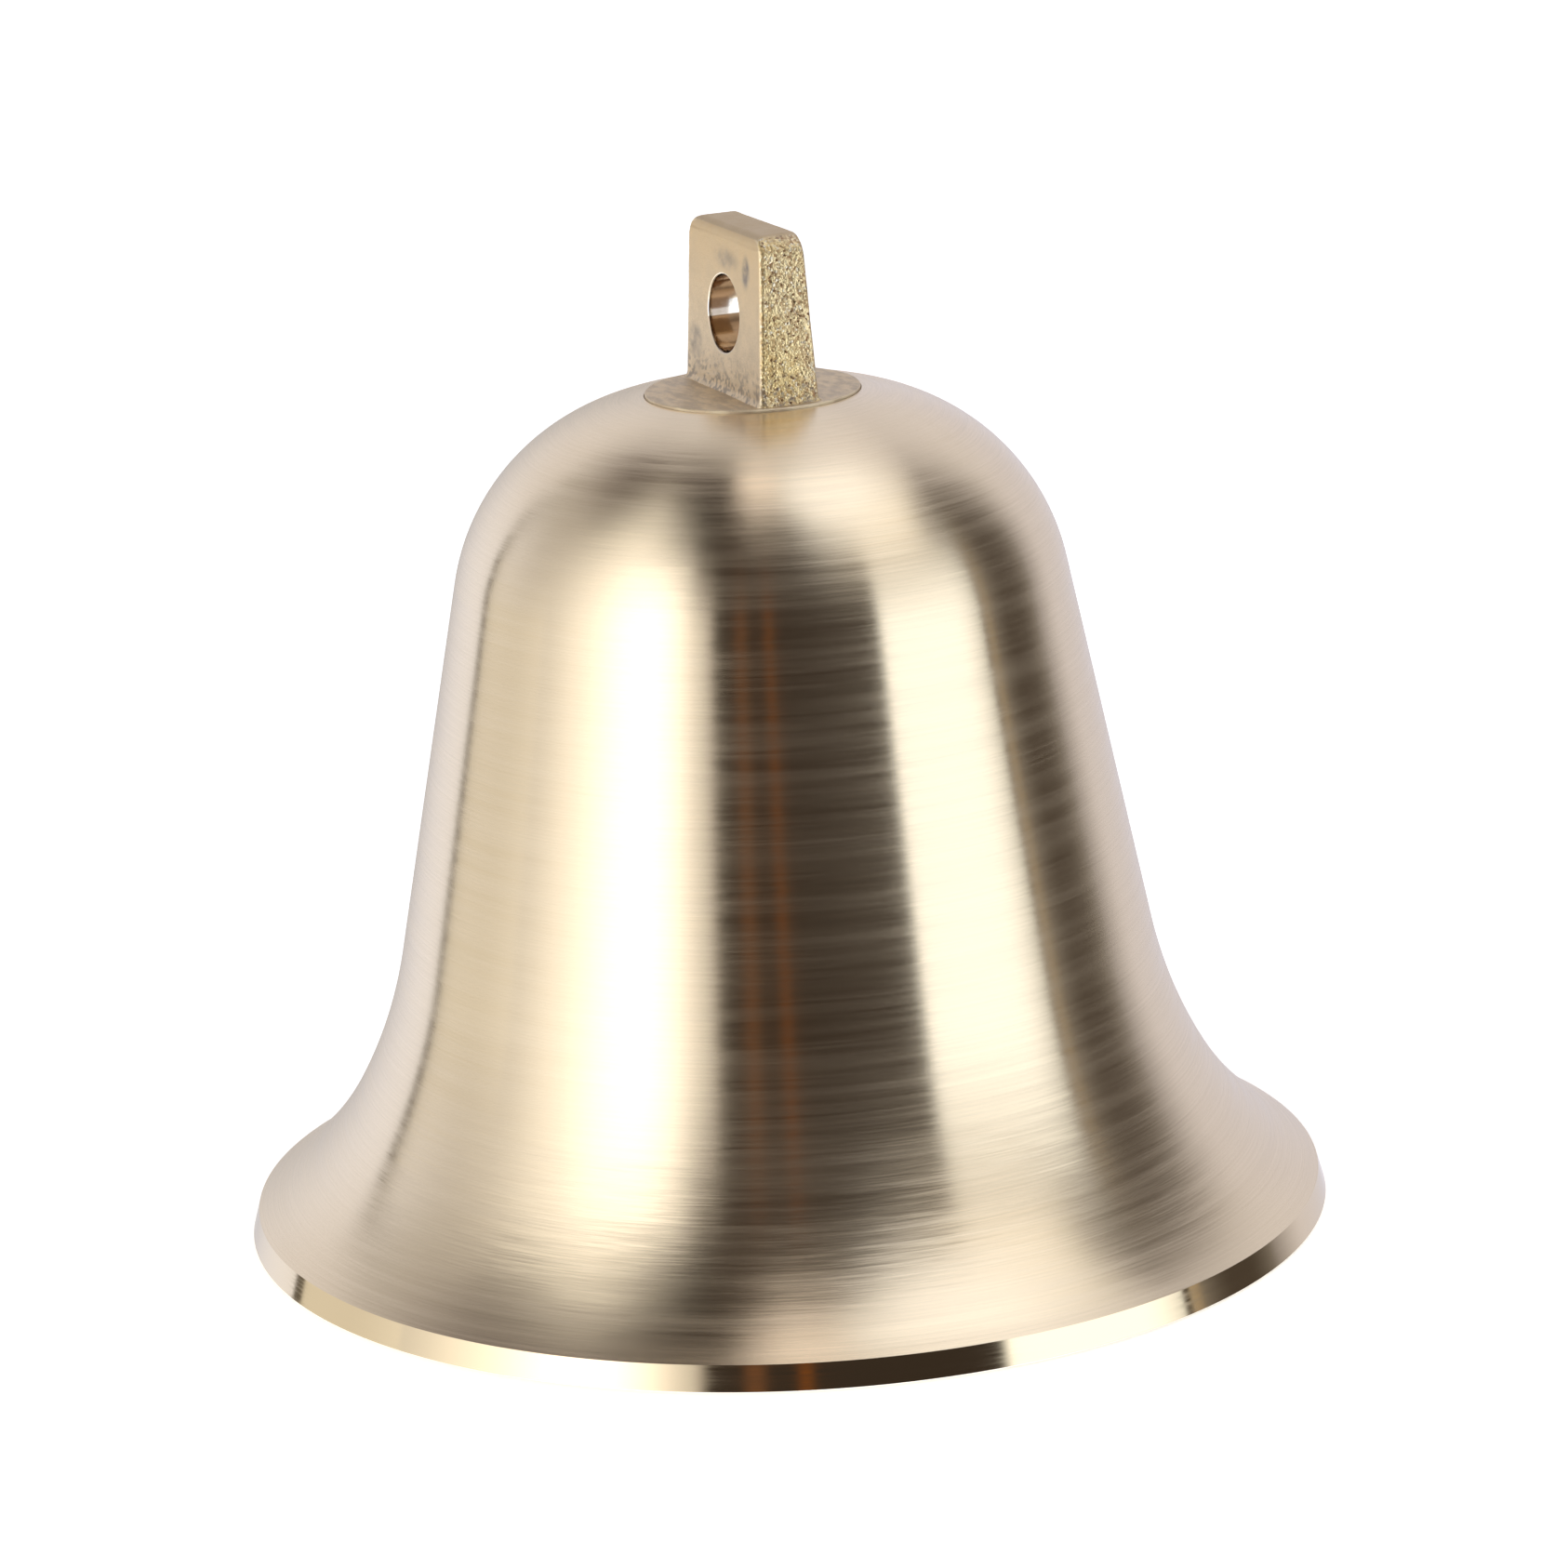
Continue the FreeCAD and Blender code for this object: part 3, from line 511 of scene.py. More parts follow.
def brushed_brass(look):
    """Brass turned on a lathe and brushed round with fine emery. The fine grooves run round the
    bell, so reflections stay crisp round it and smear along its outline, into upright bands. A few
    coarser scratches scatter light all ways, and show as pale lines across the dark bands."""
    material, tree, output = new_material("brass_turned_and_emery_brushed")
    fine_lines = add_node(
        tree,
        "ShaderNodeTexNoise",
        {"Vector": ring_space(tree, 2.4, 1 / 0.17), "Scale": 1, "Detail": 3, "Roughness": 0.7},
    ).outputs[0]
    clusters = add_node(
        tree,
        "ShaderNodeTexNoise",
        {"Vector": ring_space(tree, 0.9, 1 / 1.2), "Scale": 1, "Detail": 2},
    ).outputs[0]
    streaks = add_node(
        tree,
        "ShaderNodeTexNoise",
        {"Vector": ring_space(tree, 6.5, 1 / 0.12), "Scale": 1, "Detail": 3, "Roughness": 0.6},
    ).outputs[0]
    jitter = add_node(
        tree,
        "ShaderNodeTexNoise",
        {"Vector": ring_space(tree, 2, 1 / 0.5), "Scale": 1, "Detail": 1},
    ).outputs[0]
    place = add_node(tree, "ShaderNodeTexCoord").outputs["Object"]
    height = add_node(tree, "ShaderNodeSeparateXYZ", {0: place}).outputs["Z"]
    flare_low = add_node(
        tree,
        "ShaderNodeMapRange",
        {0: height, 1: 3 * MM, 2: 9 * MM, 3: 0.25, 4: 1},
        interpolation_type="SMOOTHSTEP",
    ).outputs[0]
    flare_high = add_node(
        tree,
        "ShaderNodeMapRange",
        {0: height, 1: 13 * MM, 2: 21 * MM, 3: 1, 4: 0.12},
        interpolation_type="SMOOTHSTEP",
    ).outputs[0]
    flare = add_node(
        tree, "ShaderNodeMath", {0: flare_low, 1: flare_high}, operation="MULTIPLY"
    ).outputs[0]
    tangent = add_node(tree, "ShaderNodeTangent", direction_type="UV_MAP", uv_map="surface")
    round_tilt = add_node(
        tree, "ShaderNodeMapRange", {0: jitter, 1: 0.25, 2: 0.75, 3: -0.003, 4: 0.003}
    ).outputs[0]
    line_tilt = add_node(
        tree, "ShaderNodeMapRange", {0: fine_lines, 1: 0.25, 2: 0.75, 3: -0.03, 4: 0.03}
    ).outputs[0]
    cluster_tilt = add_node(
        tree, "ShaderNodeMapRange", {0: clusters, 1: 0.3, 2: 0.7, 3: -0.02, 4: 0.02}
    ).outputs[0]
    streak_lean = add_node(
        tree, "ShaderNodeMapRange", {0: streaks, 1: 0.3, 2: 0.7, 3: -0.06, 4: 0.06}
    ).outputs[0]
    streak_tilt = add_node(
        tree, "ShaderNodeMath", {0: streak_lean, 1: flare}, operation="MULTIPLY"
    ).outputs[0]
    ring_tilt = add_node(
        tree, "ShaderNodeMath", {0: line_tilt, 1: cluster_tilt}, operation="ADD"
    ).outputs[0]
    up_tilt = add_node(
        tree, "ShaderNodeMath", {0: ring_tilt, 1: streak_tilt}, operation="ADD"
    ).outputs[0]
    normal = tilted_normal(tree, tangent.outputs[0], round_tilt, up_tilt)
    line_part = add_node(
        tree, "ShaderNodeMath", {0: fine_lines, 1: 0.5}, operation="MULTIPLY"
    ).outputs[0]
    cluster_part = add_node(
        tree, "ShaderNodeMath", {0: clusters, 1: 0.5}, operation="MULTIPLY"
    ).outputs[0]
    shade = add_node(
        tree, "ShaderNodeMath", {0: line_part, 1: cluster_part}, operation="ADD"
    ).outputs[0]
    darker = tuple(v * k for v, k in zip(look.brass, (0.93, 0.92, 0.9)))
    shade_share = add_node(
        tree, "ShaderNodeMapRange", {0: shade, 1: 0.35, 2: 0.62, 3: 0, 4: 1}
    ).outputs[0]
    colour = add_node(
        tree,
        "ShaderNodeMix",
        {0: shade_share, 6: opaque(darker), 7: opaque(look.brass)},
        data_type="RGBA",
    ).outputs[2]
    roughness = add_node(
        tree, "ShaderNodeMapRange", {0: shade, 1: 0.4, 2: 0.6, 3: 0.22, 4: 0.265}
    ).outputs[0]
    crisp = add_node(
        tree,
        "ShaderNodeBsdfPrincipled",
        {
            "Base Color": colour,
            "Metallic": 1.0,
            "Roughness": roughness,
            "Anisotropic": 0.96,
            "Anisotropic Rotation": 0.25,
            "Tangent": tangent.outputs[0],
            "Normal": normal,
        },
    )
    scratched = add_node(
        tree,
        "ShaderNodeBsdfPrincipled",
        {"Base Color": colour, "Metallic": 1.0, "Roughness": 0.5, "Normal": normal},
    )
    dark_lines = add_node(
        tree,
        "ShaderNodeTexNoise",
        {"Vector": ring_space(tree, 1.1, 1 / 0.26), "Scale": 1, "Detail": 4, "Roughness": 0.8},
    ).outputs[0]
    dark_part = add_node(
        tree, "ShaderNodeMath", {0: dark_lines, 1: 0.6}, operation="MULTIPLY"
    ).outputs[0]
    cluster_marks = add_node(
        tree, "ShaderNodeMath", {0: clusters, 1: 0.4}, operation="MULTIPLY"
    ).outputs[0]
    scratch_marks = add_node(
        tree, "ShaderNodeMath", {0: dark_part, 1: cluster_marks}, operation="ADD"
    ).outputs[0]
    torn = add_node(
        tree, "ShaderNodeMapRange", {0: scratch_marks, 1: 0.42, 2: 0.62, 3: 0, 4: 0.15}
    ).outputs[0]
    shader = add_node(
        tree, "ShaderNodeMixShader", {0: torn, 1: crisp.outputs[0], 2: scratched.outputs[0]}
    )
    tree.links.new(shader.outputs[0], output.inputs[0])
    return material


def polished_brass(look):
    """Brass faced with a sharp tool and buffed on the lathe. It mirrors the room sharply."""
    material, tree, output = new_material("brass_buffed_to_a_mirror")
    rings = add_node(
        tree,
        "ShaderNodeTexNoise",
        {"Vector": ring_space(tree, 4, 1 / 0.25), "Scale": 1, "Detail": 2},
    ).outputs[0]
    tangent = add_node(tree, "ShaderNodeTangent", direction_type="UV_MAP", uv_map="surface")
    up_tilt = add_node(
        tree, "ShaderNodeMapRange", {0: rings, 1: 0.3, 2: 0.7, 3: -0.012, 4: 0.012}
    ).outputs[0]
    normal = tilted_normal(tree, tangent.outputs[0], 0.0, up_tilt)
    roughness = add_node(
        tree, "ShaderNodeMapRange", {0: rings, 1: 0.3, 2: 0.7, 3: 0.06, 4: 0.12}
    ).outputs[0]
    shader = add_node(
        tree,
        "ShaderNodeBsdfPrincipled",
        {
            "Base Color": opaque(look.lip_brass),
            "Metallic": 1.0,
            "Roughness": roughness,
            "Normal": normal,
        },
    )
    tree.links.new(shader.outputs[0], output.inputs[0])
    return material


def turned_inner_brass(look):
    """The inside, left from a coarse turning cut: dull rings about half a millimetre apart."""
    material, tree, output = new_material("brass_coarse_turned")
    space = ring_space(tree, 0.7, 1 / 0.5)
    rings = add_node(
        tree, "ShaderNodeTexNoise", {"Vector": space, "Scale": 1, "Detail": 2}
    ).outputs[0]
    tangent = add_node(tree, "ShaderNodeTangent", direction_type="UV_MAP", uv_map="surface")
    up_tilt = add_node(
        tree, "ShaderNodeMapRange", {0: rings, 1: 0.3, 2: 0.7, 3: -0.15, 4: 0.15}
    ).outputs[0]
    normal = tilted_normal(
        tree, tangent.outputs[0], 0.0, up_tilt
    )
    place = add_node(tree, "ShaderNodeTexCoord").outputs["Object"]
    tarnish = add_node(
        tree, "ShaderNodeTexNoise", {"Vector": place, "Scale": 60, "Detail": 4}
    ).outputs[0]
    darker = tuple(v * k for v, k in zip(look.inner_brass, (0.62, 0.56, 0.5)))
    tarnish_share = add_node(
        tree, "ShaderNodeMapRange", {0: tarnish, 1: 0.35, 2: 0.7, 3: 0, 4: 1}
    ).outputs[0]
    colour = add_node(
        tree,
        "ShaderNodeMix",
        {0: tarnish_share, 6: opaque(look.inner_brass), 7: opaque(darker)},
        data_type="RGBA",
    ).outputs[2]
    roughness = add_node(
        tree, "ShaderNodeMapRange", {0: rings, 1: 0.3, 2: 0.7, 3: 0.36, 4: 0.5}
    ).outputs[0]
    shader = add_node(
        tree,
        "ShaderNodeBsdfPrincipled",
        {
            "Base Color": colour,
            "Metallic": 1.0,
            "Roughness": roughness,
            "Anisotropic": 0.6,
            "Anisotropic Rotation": 0.25,
            "Tangent": tangent.outputs[0],
            "Normal": normal,
        },
    )
    tree.links.new(shader.outputs[0], output.inputs[0])
    return material


def sand_cast_brass(look):
    """Brass as it leaves a sand mould. The broad faces are fine and matt, and ochre near the top.
    The narrow sides have a coarse grain of about 0.4 mm, of facets 0.2 mm across: it glitters, with
    golden patches, with painted highlight on its crests and painted shade in its pits, and with
    painted glints on random facets. The plate's edges are rubbed bright, the flange's edge has a
    painted highlight, grey stains lie over the foot, and the drilled hole is a clean mirror with
    dried grease in its lower half."""
    material, tree, output = new_material("brass_sand_cast")
    place = add_node(tree, "ShaderNodeTexCoord").outputs["Object"]
    grain_share = add_node(tree, "ShaderNodeAttribute", attribute_name="grain").outputs["Fac"]
    wear_and_highlight = add_node(tree, "ShaderNodeAttribute", attribute_name="wear_and_highlight").outputs["Fac"]
    relief = add_node(tree, "ShaderNodeAttribute", attribute_name="relief").outputs["Fac"]
    bore = add_node(tree, "ShaderNodeAttribute", attribute_name="bore").outputs["Fac"]
    dirt = add_node(tree, "ShaderNodeAttribute", attribute_name="dirt").outputs["Fac"]
    mottle = add_node(
        tree,
        "ShaderNodeTexNoise",
        {"Vector": place, "Scale": 1 / (1.6 * MM), "Detail": 3, "Roughness": 0.6},
    ).outputs[0]
    cells = add_node(
        tree, "ShaderNodeTexVoronoi", {"Vector": place, "Scale": 1 / (0.2 * MM)}, feature="F1"
    )
    facet = add_node(tree, "ShaderNodeSeparateColor", {0: cells.outputs["Color"]})
    speckle = facet.outputs["Red"]
    relief_part = add_node(
        tree, "ShaderNodeMath", {0: relief, 1: 0.5}, operation="MULTIPLY"
    ).outputs[0]
    facet_part = add_node(
        tree, "ShaderNodeMath", {0: speckle, 1: 0.6}, operation="MULTIPLY"
    ).outputs[0]
    height = add_node(
        tree, "ShaderNodeMath", {0: relief_part, 1: facet_part}, operation="ADD"
    ).outputs[0]
    # Painted highlight and painted shade: the grain is coloured lighter where it stands high and
    # darker where it lies low.
    crest = add_node(tree, "ShaderNodeMapRange", {0: height, 1: 0.1, 2: 0.7, 3: 0, 4: 1}).outputs[0]
    grain = add_node(
        tree,
        "ShaderNodeMix",
        {0: crest, 6: opaque(look.grain_dark), 7: opaque(look.grain_highlight)},
        data_type="RGBA",
    ).outputs[2]
    patches = add_node(
        tree, "ShaderNodeTexNoise", {"Vector": place, "Scale": 1 / (5 * MM), "Detail": 1}
    ).outputs[0]
    gilt = add_node(
        tree, "ShaderNodeMapRange", {0: patches, 1: 0.45, 2: 0.65, 3: 0, 4: 0.45}
    ).outputs[0]
    grain = add_node(
        tree, "ShaderNodeMix", {0: gilt, 6: grain, 7: opaque(look.grain_gilt)}, data_type="RGBA"
    ).outputs[2]
    # Painted shade: random cells, the ones sunk lowest by the bump below, are darkened to half the
    # pits' colour.
    pit = add_node(
        tree, "ShaderNodeMapRange", {0: facet.outputs["Green"], 1: 0.03, 2: 0.11, 3: 1, 4: 0}
    ).outputs[0]
    grain = add_node(
        tree,
        "ShaderNodeMix",
        {0: pit, 6: grain, 7: opaque(tuple(v * 0.5 for v in look.grain_dark))},
        data_type="RGBA",
    ).outputs[2]
    # Painted glints: a few random facets are painted in the pale edge colour.
    painted_glint = add_node(
        tree, "ShaderNodeMapRange", {0: facet.outputs["Blue"], 1: 0.88, 2: 0.96, 3: 0, 4: 1}
    ).outputs[0]
    grain = add_node(
        tree, "ShaderNodeMix", {0: painted_glint, 6: grain, 7: opaque(look.worn_and_highlight_brass)}, data_type="RGBA"
    ).outputs[2]
    dull = tuple(v * k for v, k in zip(look.face_brass, (0.84, 0.82, 0.78)))
    fine = add_node(
        tree,
        "ShaderNodeTexNoise",
        {"Vector": place, "Scale": 1 / (0.14 * MM), "Detail": 2, "Roughness": 0.7},
    ).outputs[0]
    mottle_part = add_node(
        tree, "ShaderNodeMath", {0: mottle, 1: 0.55}, operation="MULTIPLY"
    ).outputs[0]
    fine_part = add_node(
        tree, "ShaderNodeMath", {0: fine, 1: 0.45}, operation="MULTIPLY"
    ).outputs[0]
    shade = add_node(
        tree, "ShaderNodeMath", {0: mottle_part, 1: fine_part}, operation="ADD"
    ).outputs[0]
    shade_share = add_node(
        tree, "ShaderNodeMapRange", {0: shade, 1: 0.4, 2: 0.6, 3: 0, 4: 1}
    ).outputs[0]
    face = add_node(
        tree,
        "ShaderNodeMix",
        {0: shade_share, 6: opaque(dull), 7: opaque(look.face_brass)},
        data_type="RGBA",
    ).outputs[2]
    up = add_node(tree, "ShaderNodeSeparateXYZ", {0: place}).outputs["Z"]
    skin = add_node(
        tree,
        "ShaderNodeMapRange",
        {0: up, 1: LUG_HIGH.z - 11 * MM, 2: LUG_HIGH.z - 1 * MM, 3: 0, 4: 0.9},
    ).outputs[0]
    ochre = tuple(v * k for v, k in zip(look.face_brass, (0.9, 0.83, 0.68)))
    face = add_node(
        tree, "ShaderNodeMix", {0: skin, 6: face, 7: opaque(ochre)}, data_type="RGBA"
    ).outputs[2]
    colour = add_node(
        tree, "ShaderNodeMix", {0: grain_share, 6: face, 7: grain}, data_type="RGBA"
    ).outputs[2]
    colour = add_node(
        tree, "ShaderNodeMix", {0: dirt, 6: colour, 7: opaque(look.stain)}, data_type="RGBA"
    ).outputs[2]
    # Bright along the plate's rubbed edges, which is wear, and along the flange's edge, which is a
    # painted highlight.
    colour = add_node(
        tree, "ShaderNodeMix", {0: wear_and_highlight, 6: colour, 7: opaque(look.worn_and_highlight_brass)}, data_type="RGBA"
    ).outputs[2]
    greasy = add_node(tree, "ShaderNodeAttribute", attribute_name="grease").outputs["Fac"]
    drilled = add_node(
        tree,
        "ShaderNodeMix",
        {0: greasy, 6: opaque(look.bore_brass), 7: opaque(look.grease)},
        data_type="RGBA",
    ).outputs[2]
    colour = add_node(
        tree, "ShaderNodeMix", {0: bore, 6: colour, 7: drilled}, data_type="RGBA"
    ).outputs[2]
    rough_face = add_node(
        tree, "ShaderNodeMapRange", {0: mottle, 1: 0.3, 2: 0.7, 3: 0.5, 4: 0.66}
    ).outputs[0]
    rough_grain = add_node(
        tree, "ShaderNodeMapRange", {0: speckle, 1: 0, 2: 1, 3: 0.55, 4: 0.26}
    ).outputs[0]
    roughness = add_node(
        tree, "ShaderNodeMix", {0: grain_share, 2: rough_face, 3: rough_grain}, data_type="FLOAT"
    ).outputs[0]
    roughness = add_node(
        tree, "ShaderNodeMix", {0: bore, 2: roughness, 3: 0.13}, data_type="FLOAT"
    ).outputs[0]
    strength = add_node(
        tree, "ShaderNodeMix", {0: bore, 2: 0.7, 3: 0.02}, data_type="FLOAT"
    ).outputs[0]
    pores = add_node(
        tree, "ShaderNodeBump", {"Height": fine, "Distance": 0.05 * MM, "Strength": strength}
    ).outputs[0]
    cone = add_node(
        tree, "ShaderNodeMath", {0: cells.outputs["Distance"], 1: -1.2}, operation="MULTIPLY"
    ).outputs[0]
    slope = add_node(
        tree, "ShaderNodeMath", {0: facet.outputs["Green"], 1: cone}, operation="ADD"
    ).outputs[0]
    glitter = add_node(
        tree, "ShaderNodeMapRange", {0: painted_glint, 1: 0, 2: 1, 3: 0.4, 4: 0.8}
    ).outputs[0]
    grain_strength = add_node(
        tree, "ShaderNodeMath", {0: grain_share, 1: glitter}, operation="MULTIPLY"
    ).outputs[0]
    bump = add_node(
        tree,
        "ShaderNodeBump",
        {"Height": slope, "Distance": 0.07 * MM, "Strength": grain_strength, "Normal": pores},
    ).outputs[0]
    shader = add_node(
        tree,
        "ShaderNodeBsdfPrincipled",
        {"Base Color": colour, "Metallic": 1.0, "Roughness": roughness, "Normal": bump},
    )
    tree.links.new(shader.outputs[0], output.inputs[0])
    return material


def machined_brass(look):
    """Brass turned to size and left bright: faint tool rings and a warm, satin gloss."""
    material, tree, output = new_material("brass_machined")
    place = add_node(tree, "ShaderNodeTexCoord").outputs["Object"]
    stretched = add_node(
        tree, "ShaderNodeVectorMath", {0: place, 1: (60, 60, 1 / (0.3 * MM))}, operation="MULTIPLY"
    ).outputs[0]
    rings = add_node(
        tree, "ShaderNodeTexNoise", {"Vector": stretched, "Scale": 1, "Detail": 2}
    ).outputs[0]
    tarnish = add_node(
        tree, "ShaderNodeTexNoise", {"Vector": place, "Scale": 1 / (3 * MM), "Detail": 3}
    ).outputs[0]
    darker = tuple(v * k for v, k in zip(look.brass, (0.8, 0.74, 0.66)))
    tarnish_share = add_node(
        tree, "ShaderNodeMapRange", {0: tarnish, 1: 0.35, 2: 0.7, 3: 0, 4: 1}
    ).outputs[0]
    colour = add_node(
        tree,
        "ShaderNodeMix",
        {0: tarnish_share, 6: opaque(look.brass), 7: opaque(darker)},
        data_type="RGBA",
    ).outputs[2]
    bump = add_node(
        tree, "ShaderNodeBump", {"Height": rings, "Distance": 0.02 * MM, "Strength": 0.4}
    ).outputs[0]
    roughness = add_node(
        tree, "ShaderNodeMapRange", {0: rings, 1: 0.3, 2: 0.7, 3: 0.24, 4: 0.36}
    ).outputs[0]
    shader = add_node(
        tree,
        "ShaderNodeBsdfPrincipled",
        {"Base Color": colour, "Metallic": 1.0, "Roughness": roughness, "Normal": bump},
    )
    tree.links.new(shader.outputs[0], output.inputs[0])
    return material


def plated_steel(look):
    """Steel with bright zinc plate: pale blue-grey, with the faint spangle of the plating."""
    material, tree, output = new_material("steel_bright_zinc_plated")
    place = add_node(tree, "ShaderNodeTexCoord").outputs["Object"]
    spangle = add_node(
        tree, "ShaderNodeTexNoise", {"Vector": place, "Scale": 1 / (0.7 * MM), "Detail": 3}
    ).outputs[0]
    darker = tuple(v * 0.78 for v in look.zinc)
    tone_share = add_node(
        tree, "ShaderNodeMapRange", {0: spangle, 1: 0.35, 2: 0.65, 3: 0, 4: 1}
    ).outputs[0]
    colour = add_node(
        tree,
        "ShaderNodeMix",
        {0: tone_share, 6: opaque(look.zinc), 7: opaque(darker)},
        data_type="RGBA",
    ).outputs[2]
    bump = add_node(
        tree, "ShaderNodeBump", {"Height": spangle, "Distance": 0.02 * MM, "Strength": 0.3}
    ).outputs[0]
    roughness = add_node(
        tree, "ShaderNodeMapRange", {0: spangle, 1: 0.3, 2: 0.7, 3: 0.26, 4: 0.42}
    ).outputs[0]
    shader = add_node(
        tree,
        "ShaderNodeBsdfPrincipled",
        {"Base Color": colour, "Metallic": 1.0, "Roughness": roughness, "Normal": bump},
    )
    tree.links.new(shader.outputs[0], output.inputs[0])
    return material


def turned_steel(look):
    """Plain bar steel turned bright, with fine tool rings and a trace of oil darkening."""
    material, tree, output = new_material("steel_turned_bright")
    place = add_node(tree, "ShaderNodeTexCoord").outputs["Object"]
    stretched = add_node(
        tree, "ShaderNodeVectorMath", {0: place, 1: (80, 80, 1 / (0.2 * MM))}, operation="MULTIPLY"
    ).outputs[0]
    rings = add_node(
        tree, "ShaderNodeTexNoise", {"Vector": stretched, "Scale": 1, "Detail": 2}
    ).outputs[0]
    oil = add_node(
        tree, "ShaderNodeTexNoise", {"Vector": place, "Scale": 1 / (5 * MM), "Detail": 3}
    ).outputs[0]
    darker = tuple(v * k for v, k in zip(look.steel, (0.7, 0.66, 0.6)))
    oil_share = add_node(
        tree, "ShaderNodeMapRange", {0: oil, 1: 0.4, 2: 0.7, 3: 0, 4: 1}
    ).outputs[0]
    colour = add_node(
        tree,
        "ShaderNodeMix",
        {0: oil_share, 6: opaque(look.steel), 7: opaque(darker)},
        data_type="RGBA",
    ).outputs[2]
    bump = add_node(
        tree, "ShaderNodeBump", {"Height": rings, "Distance": 0.02 * MM, "Strength": 0.5}
    ).outputs[0]
    roughness = add_node(
        tree, "ShaderNodeMapRange", {0: rings, 1: 0.3, 2: 0.7, 3: 0.26, 4: 0.4}
    ).outputs[0]
    shader = add_node(
        tree,
        "ShaderNodeBsdfPrincipled",
        {"Base Color": colour, "Metallic": 1.0, "Roughness": roughness, "Normal": bump},
    )
    tree.links.new(shader.outputs[0], output.inputs[0])
    return material


def oiled_leather(look):
    """Thick bridle leather, cut and oiled: a creased grain of about half a millimetre."""
    material, tree, output = new_material("leather_oiled")
    place = add_node(tree, "ShaderNodeTexCoord").outputs["Object"]
    creases = add_node(
        tree,
        "ShaderNodeTexVoronoi",
        {"Vector": place, "Scale": 1 / (0.5 * MM)},
        feature="DISTANCE_TO_EDGE",
    ).outputs["Distance"]
    tone = add_node(
        tree, "ShaderNodeTexNoise", {"Vector": place, "Scale": 1 / (2 * MM), "Detail": 3}
    ).outputs[0]
    darker = tuple(v * 0.6 for v in look.leather)
    tone_share = add_node(
        tree, "ShaderNodeMapRange", {0: tone, 1: 0.35, 2: 0.65, 3: 0, 4: 1}
    ).outputs[0]
    colour = add_node(
        tree,
        "ShaderNodeMix",
        {0: tone_share, 6: opaque(look.leather), 7: opaque(darker)},
        data_type="RGBA",
    ).outputs[2]
    crease_height = add_node(
        tree, "ShaderNodeMapRange", {0: creases, 1: 0, 2: 0.2, 3: 0, 4: 1}
    ).outputs[0]
    bump = add_node(
        tree, "ShaderNodeBump", {"Height": crease_height, "Distance": 0.08 * MM, "Strength": 0.6}
    ).outputs[0]
    roughness = add_node(
        tree, "ShaderNodeMapRange", {0: tone, 1: 0.3, 2: 0.7, 3: 0.48, 4: 0.62}
    ).outputs[0]
    shader = add_node(
        tree,
        "ShaderNodeBsdfPrincipled",
        {"Base Color": colour, "Roughness": roughness, "Normal": bump},
    )
    tree.links.new(shader.outputs[0], output.inputs[0])
    return material


def paper_floor(look):
    """Matt background paper, lit so evenly that only the bell's own soft shadow shows on it."""
    material, tree, output = new_material("paper_seamless")
    place = add_node(tree, "ShaderNodeTexCoord").outputs["Object"]
    fibre = add_node(
        tree, "ShaderNodeTexNoise", {"Vector": place, "Scale": 1 / (2 * MM), "Detail": 2}
    ).outputs[0]
    roughness = add_node(
        tree, "ShaderNodeMapRange", {0: fibre, 1: 0.3, 2: 0.7, 3: 0.85, 4: 0.95}
    ).outputs[0]
    shader = add_node(
        tree,
        "ShaderNodeBsdfPrincipled",
        {
            "Base Color": opaque(look.floor_colour),
            "Roughness": roughness,
            "Emission Color": opaque(look.floor_colour),
            "Emission Strength": FLOOR_GLOW,
        },
    )
    tree.links.new(shader.outputs[0], output.inputs[0])
    return material


# ---- pieces --------------------------------------------------------------------------------------


class BELL_OT_body(Operator):
    """Draws the turned bell, with its brushed outside, polished lip and coarse inside"""

    bl_idname = "bell.body"
    bl_label = "Bell body"

    def execute(self, context):
        look = context.scene.bell_body
        outline, finish = bell_outline(look)
        points, uv = turned_grid(outline, look.steps_around)
        mesh = grid_mesh("bell_body", points, uv, slots=finish)
        materials = [brushed_brass(look), polished_brass(look), turned_inner_brass(look)]
        place_piece(mesh, "bell", "bell_shell", materials)
        return {"FINISHED"}


def plate_reach(look, direction, hole_height, foot):
    """How far the plate's outline is from the hole's centre in each direction (x, z).

    Each side is a line, reached at its distance over the direction's share along its normal; the
    nearest counts. Past a top corner's arc centre, the reach is to the arc instead.
    """
    top = look.height - hole_height
    base_half = look.base_width / 2
    top_half = look.top_width / 2
    draft = (base_half - top_half) / look.height
    side_at_hole = base_half - draft * hole_height
    x, z = np.abs(direction[..., 0]), direction[..., 1]
    side = side_at_hole / np.maximum(x + draft * z, 1e-9)
    upward = np.where(z > 1e-9, top / np.maximum(z, 1e-9), np.inf)
    downward = np.where(z < -1e-9, foot / np.maximum(-z, 1e-9), np.inf)
    reach = np.minimum(np.minimum(side, upward), downward)
    centre = np.array([top_half + draft * look.corner - look.corner, top - look.corner])
    towards = x * centre[0] + z * centre[1]
    inside = look.corner**2 - centre @ centre + towards**2
    to_arc = towards + np.sqrt(np.maximum(inside, 0))
    past = (x * reach > centre[0]) & (z * reach > centre[1])
    return np.where(past, np.minimum(reach, to_arc), reach)


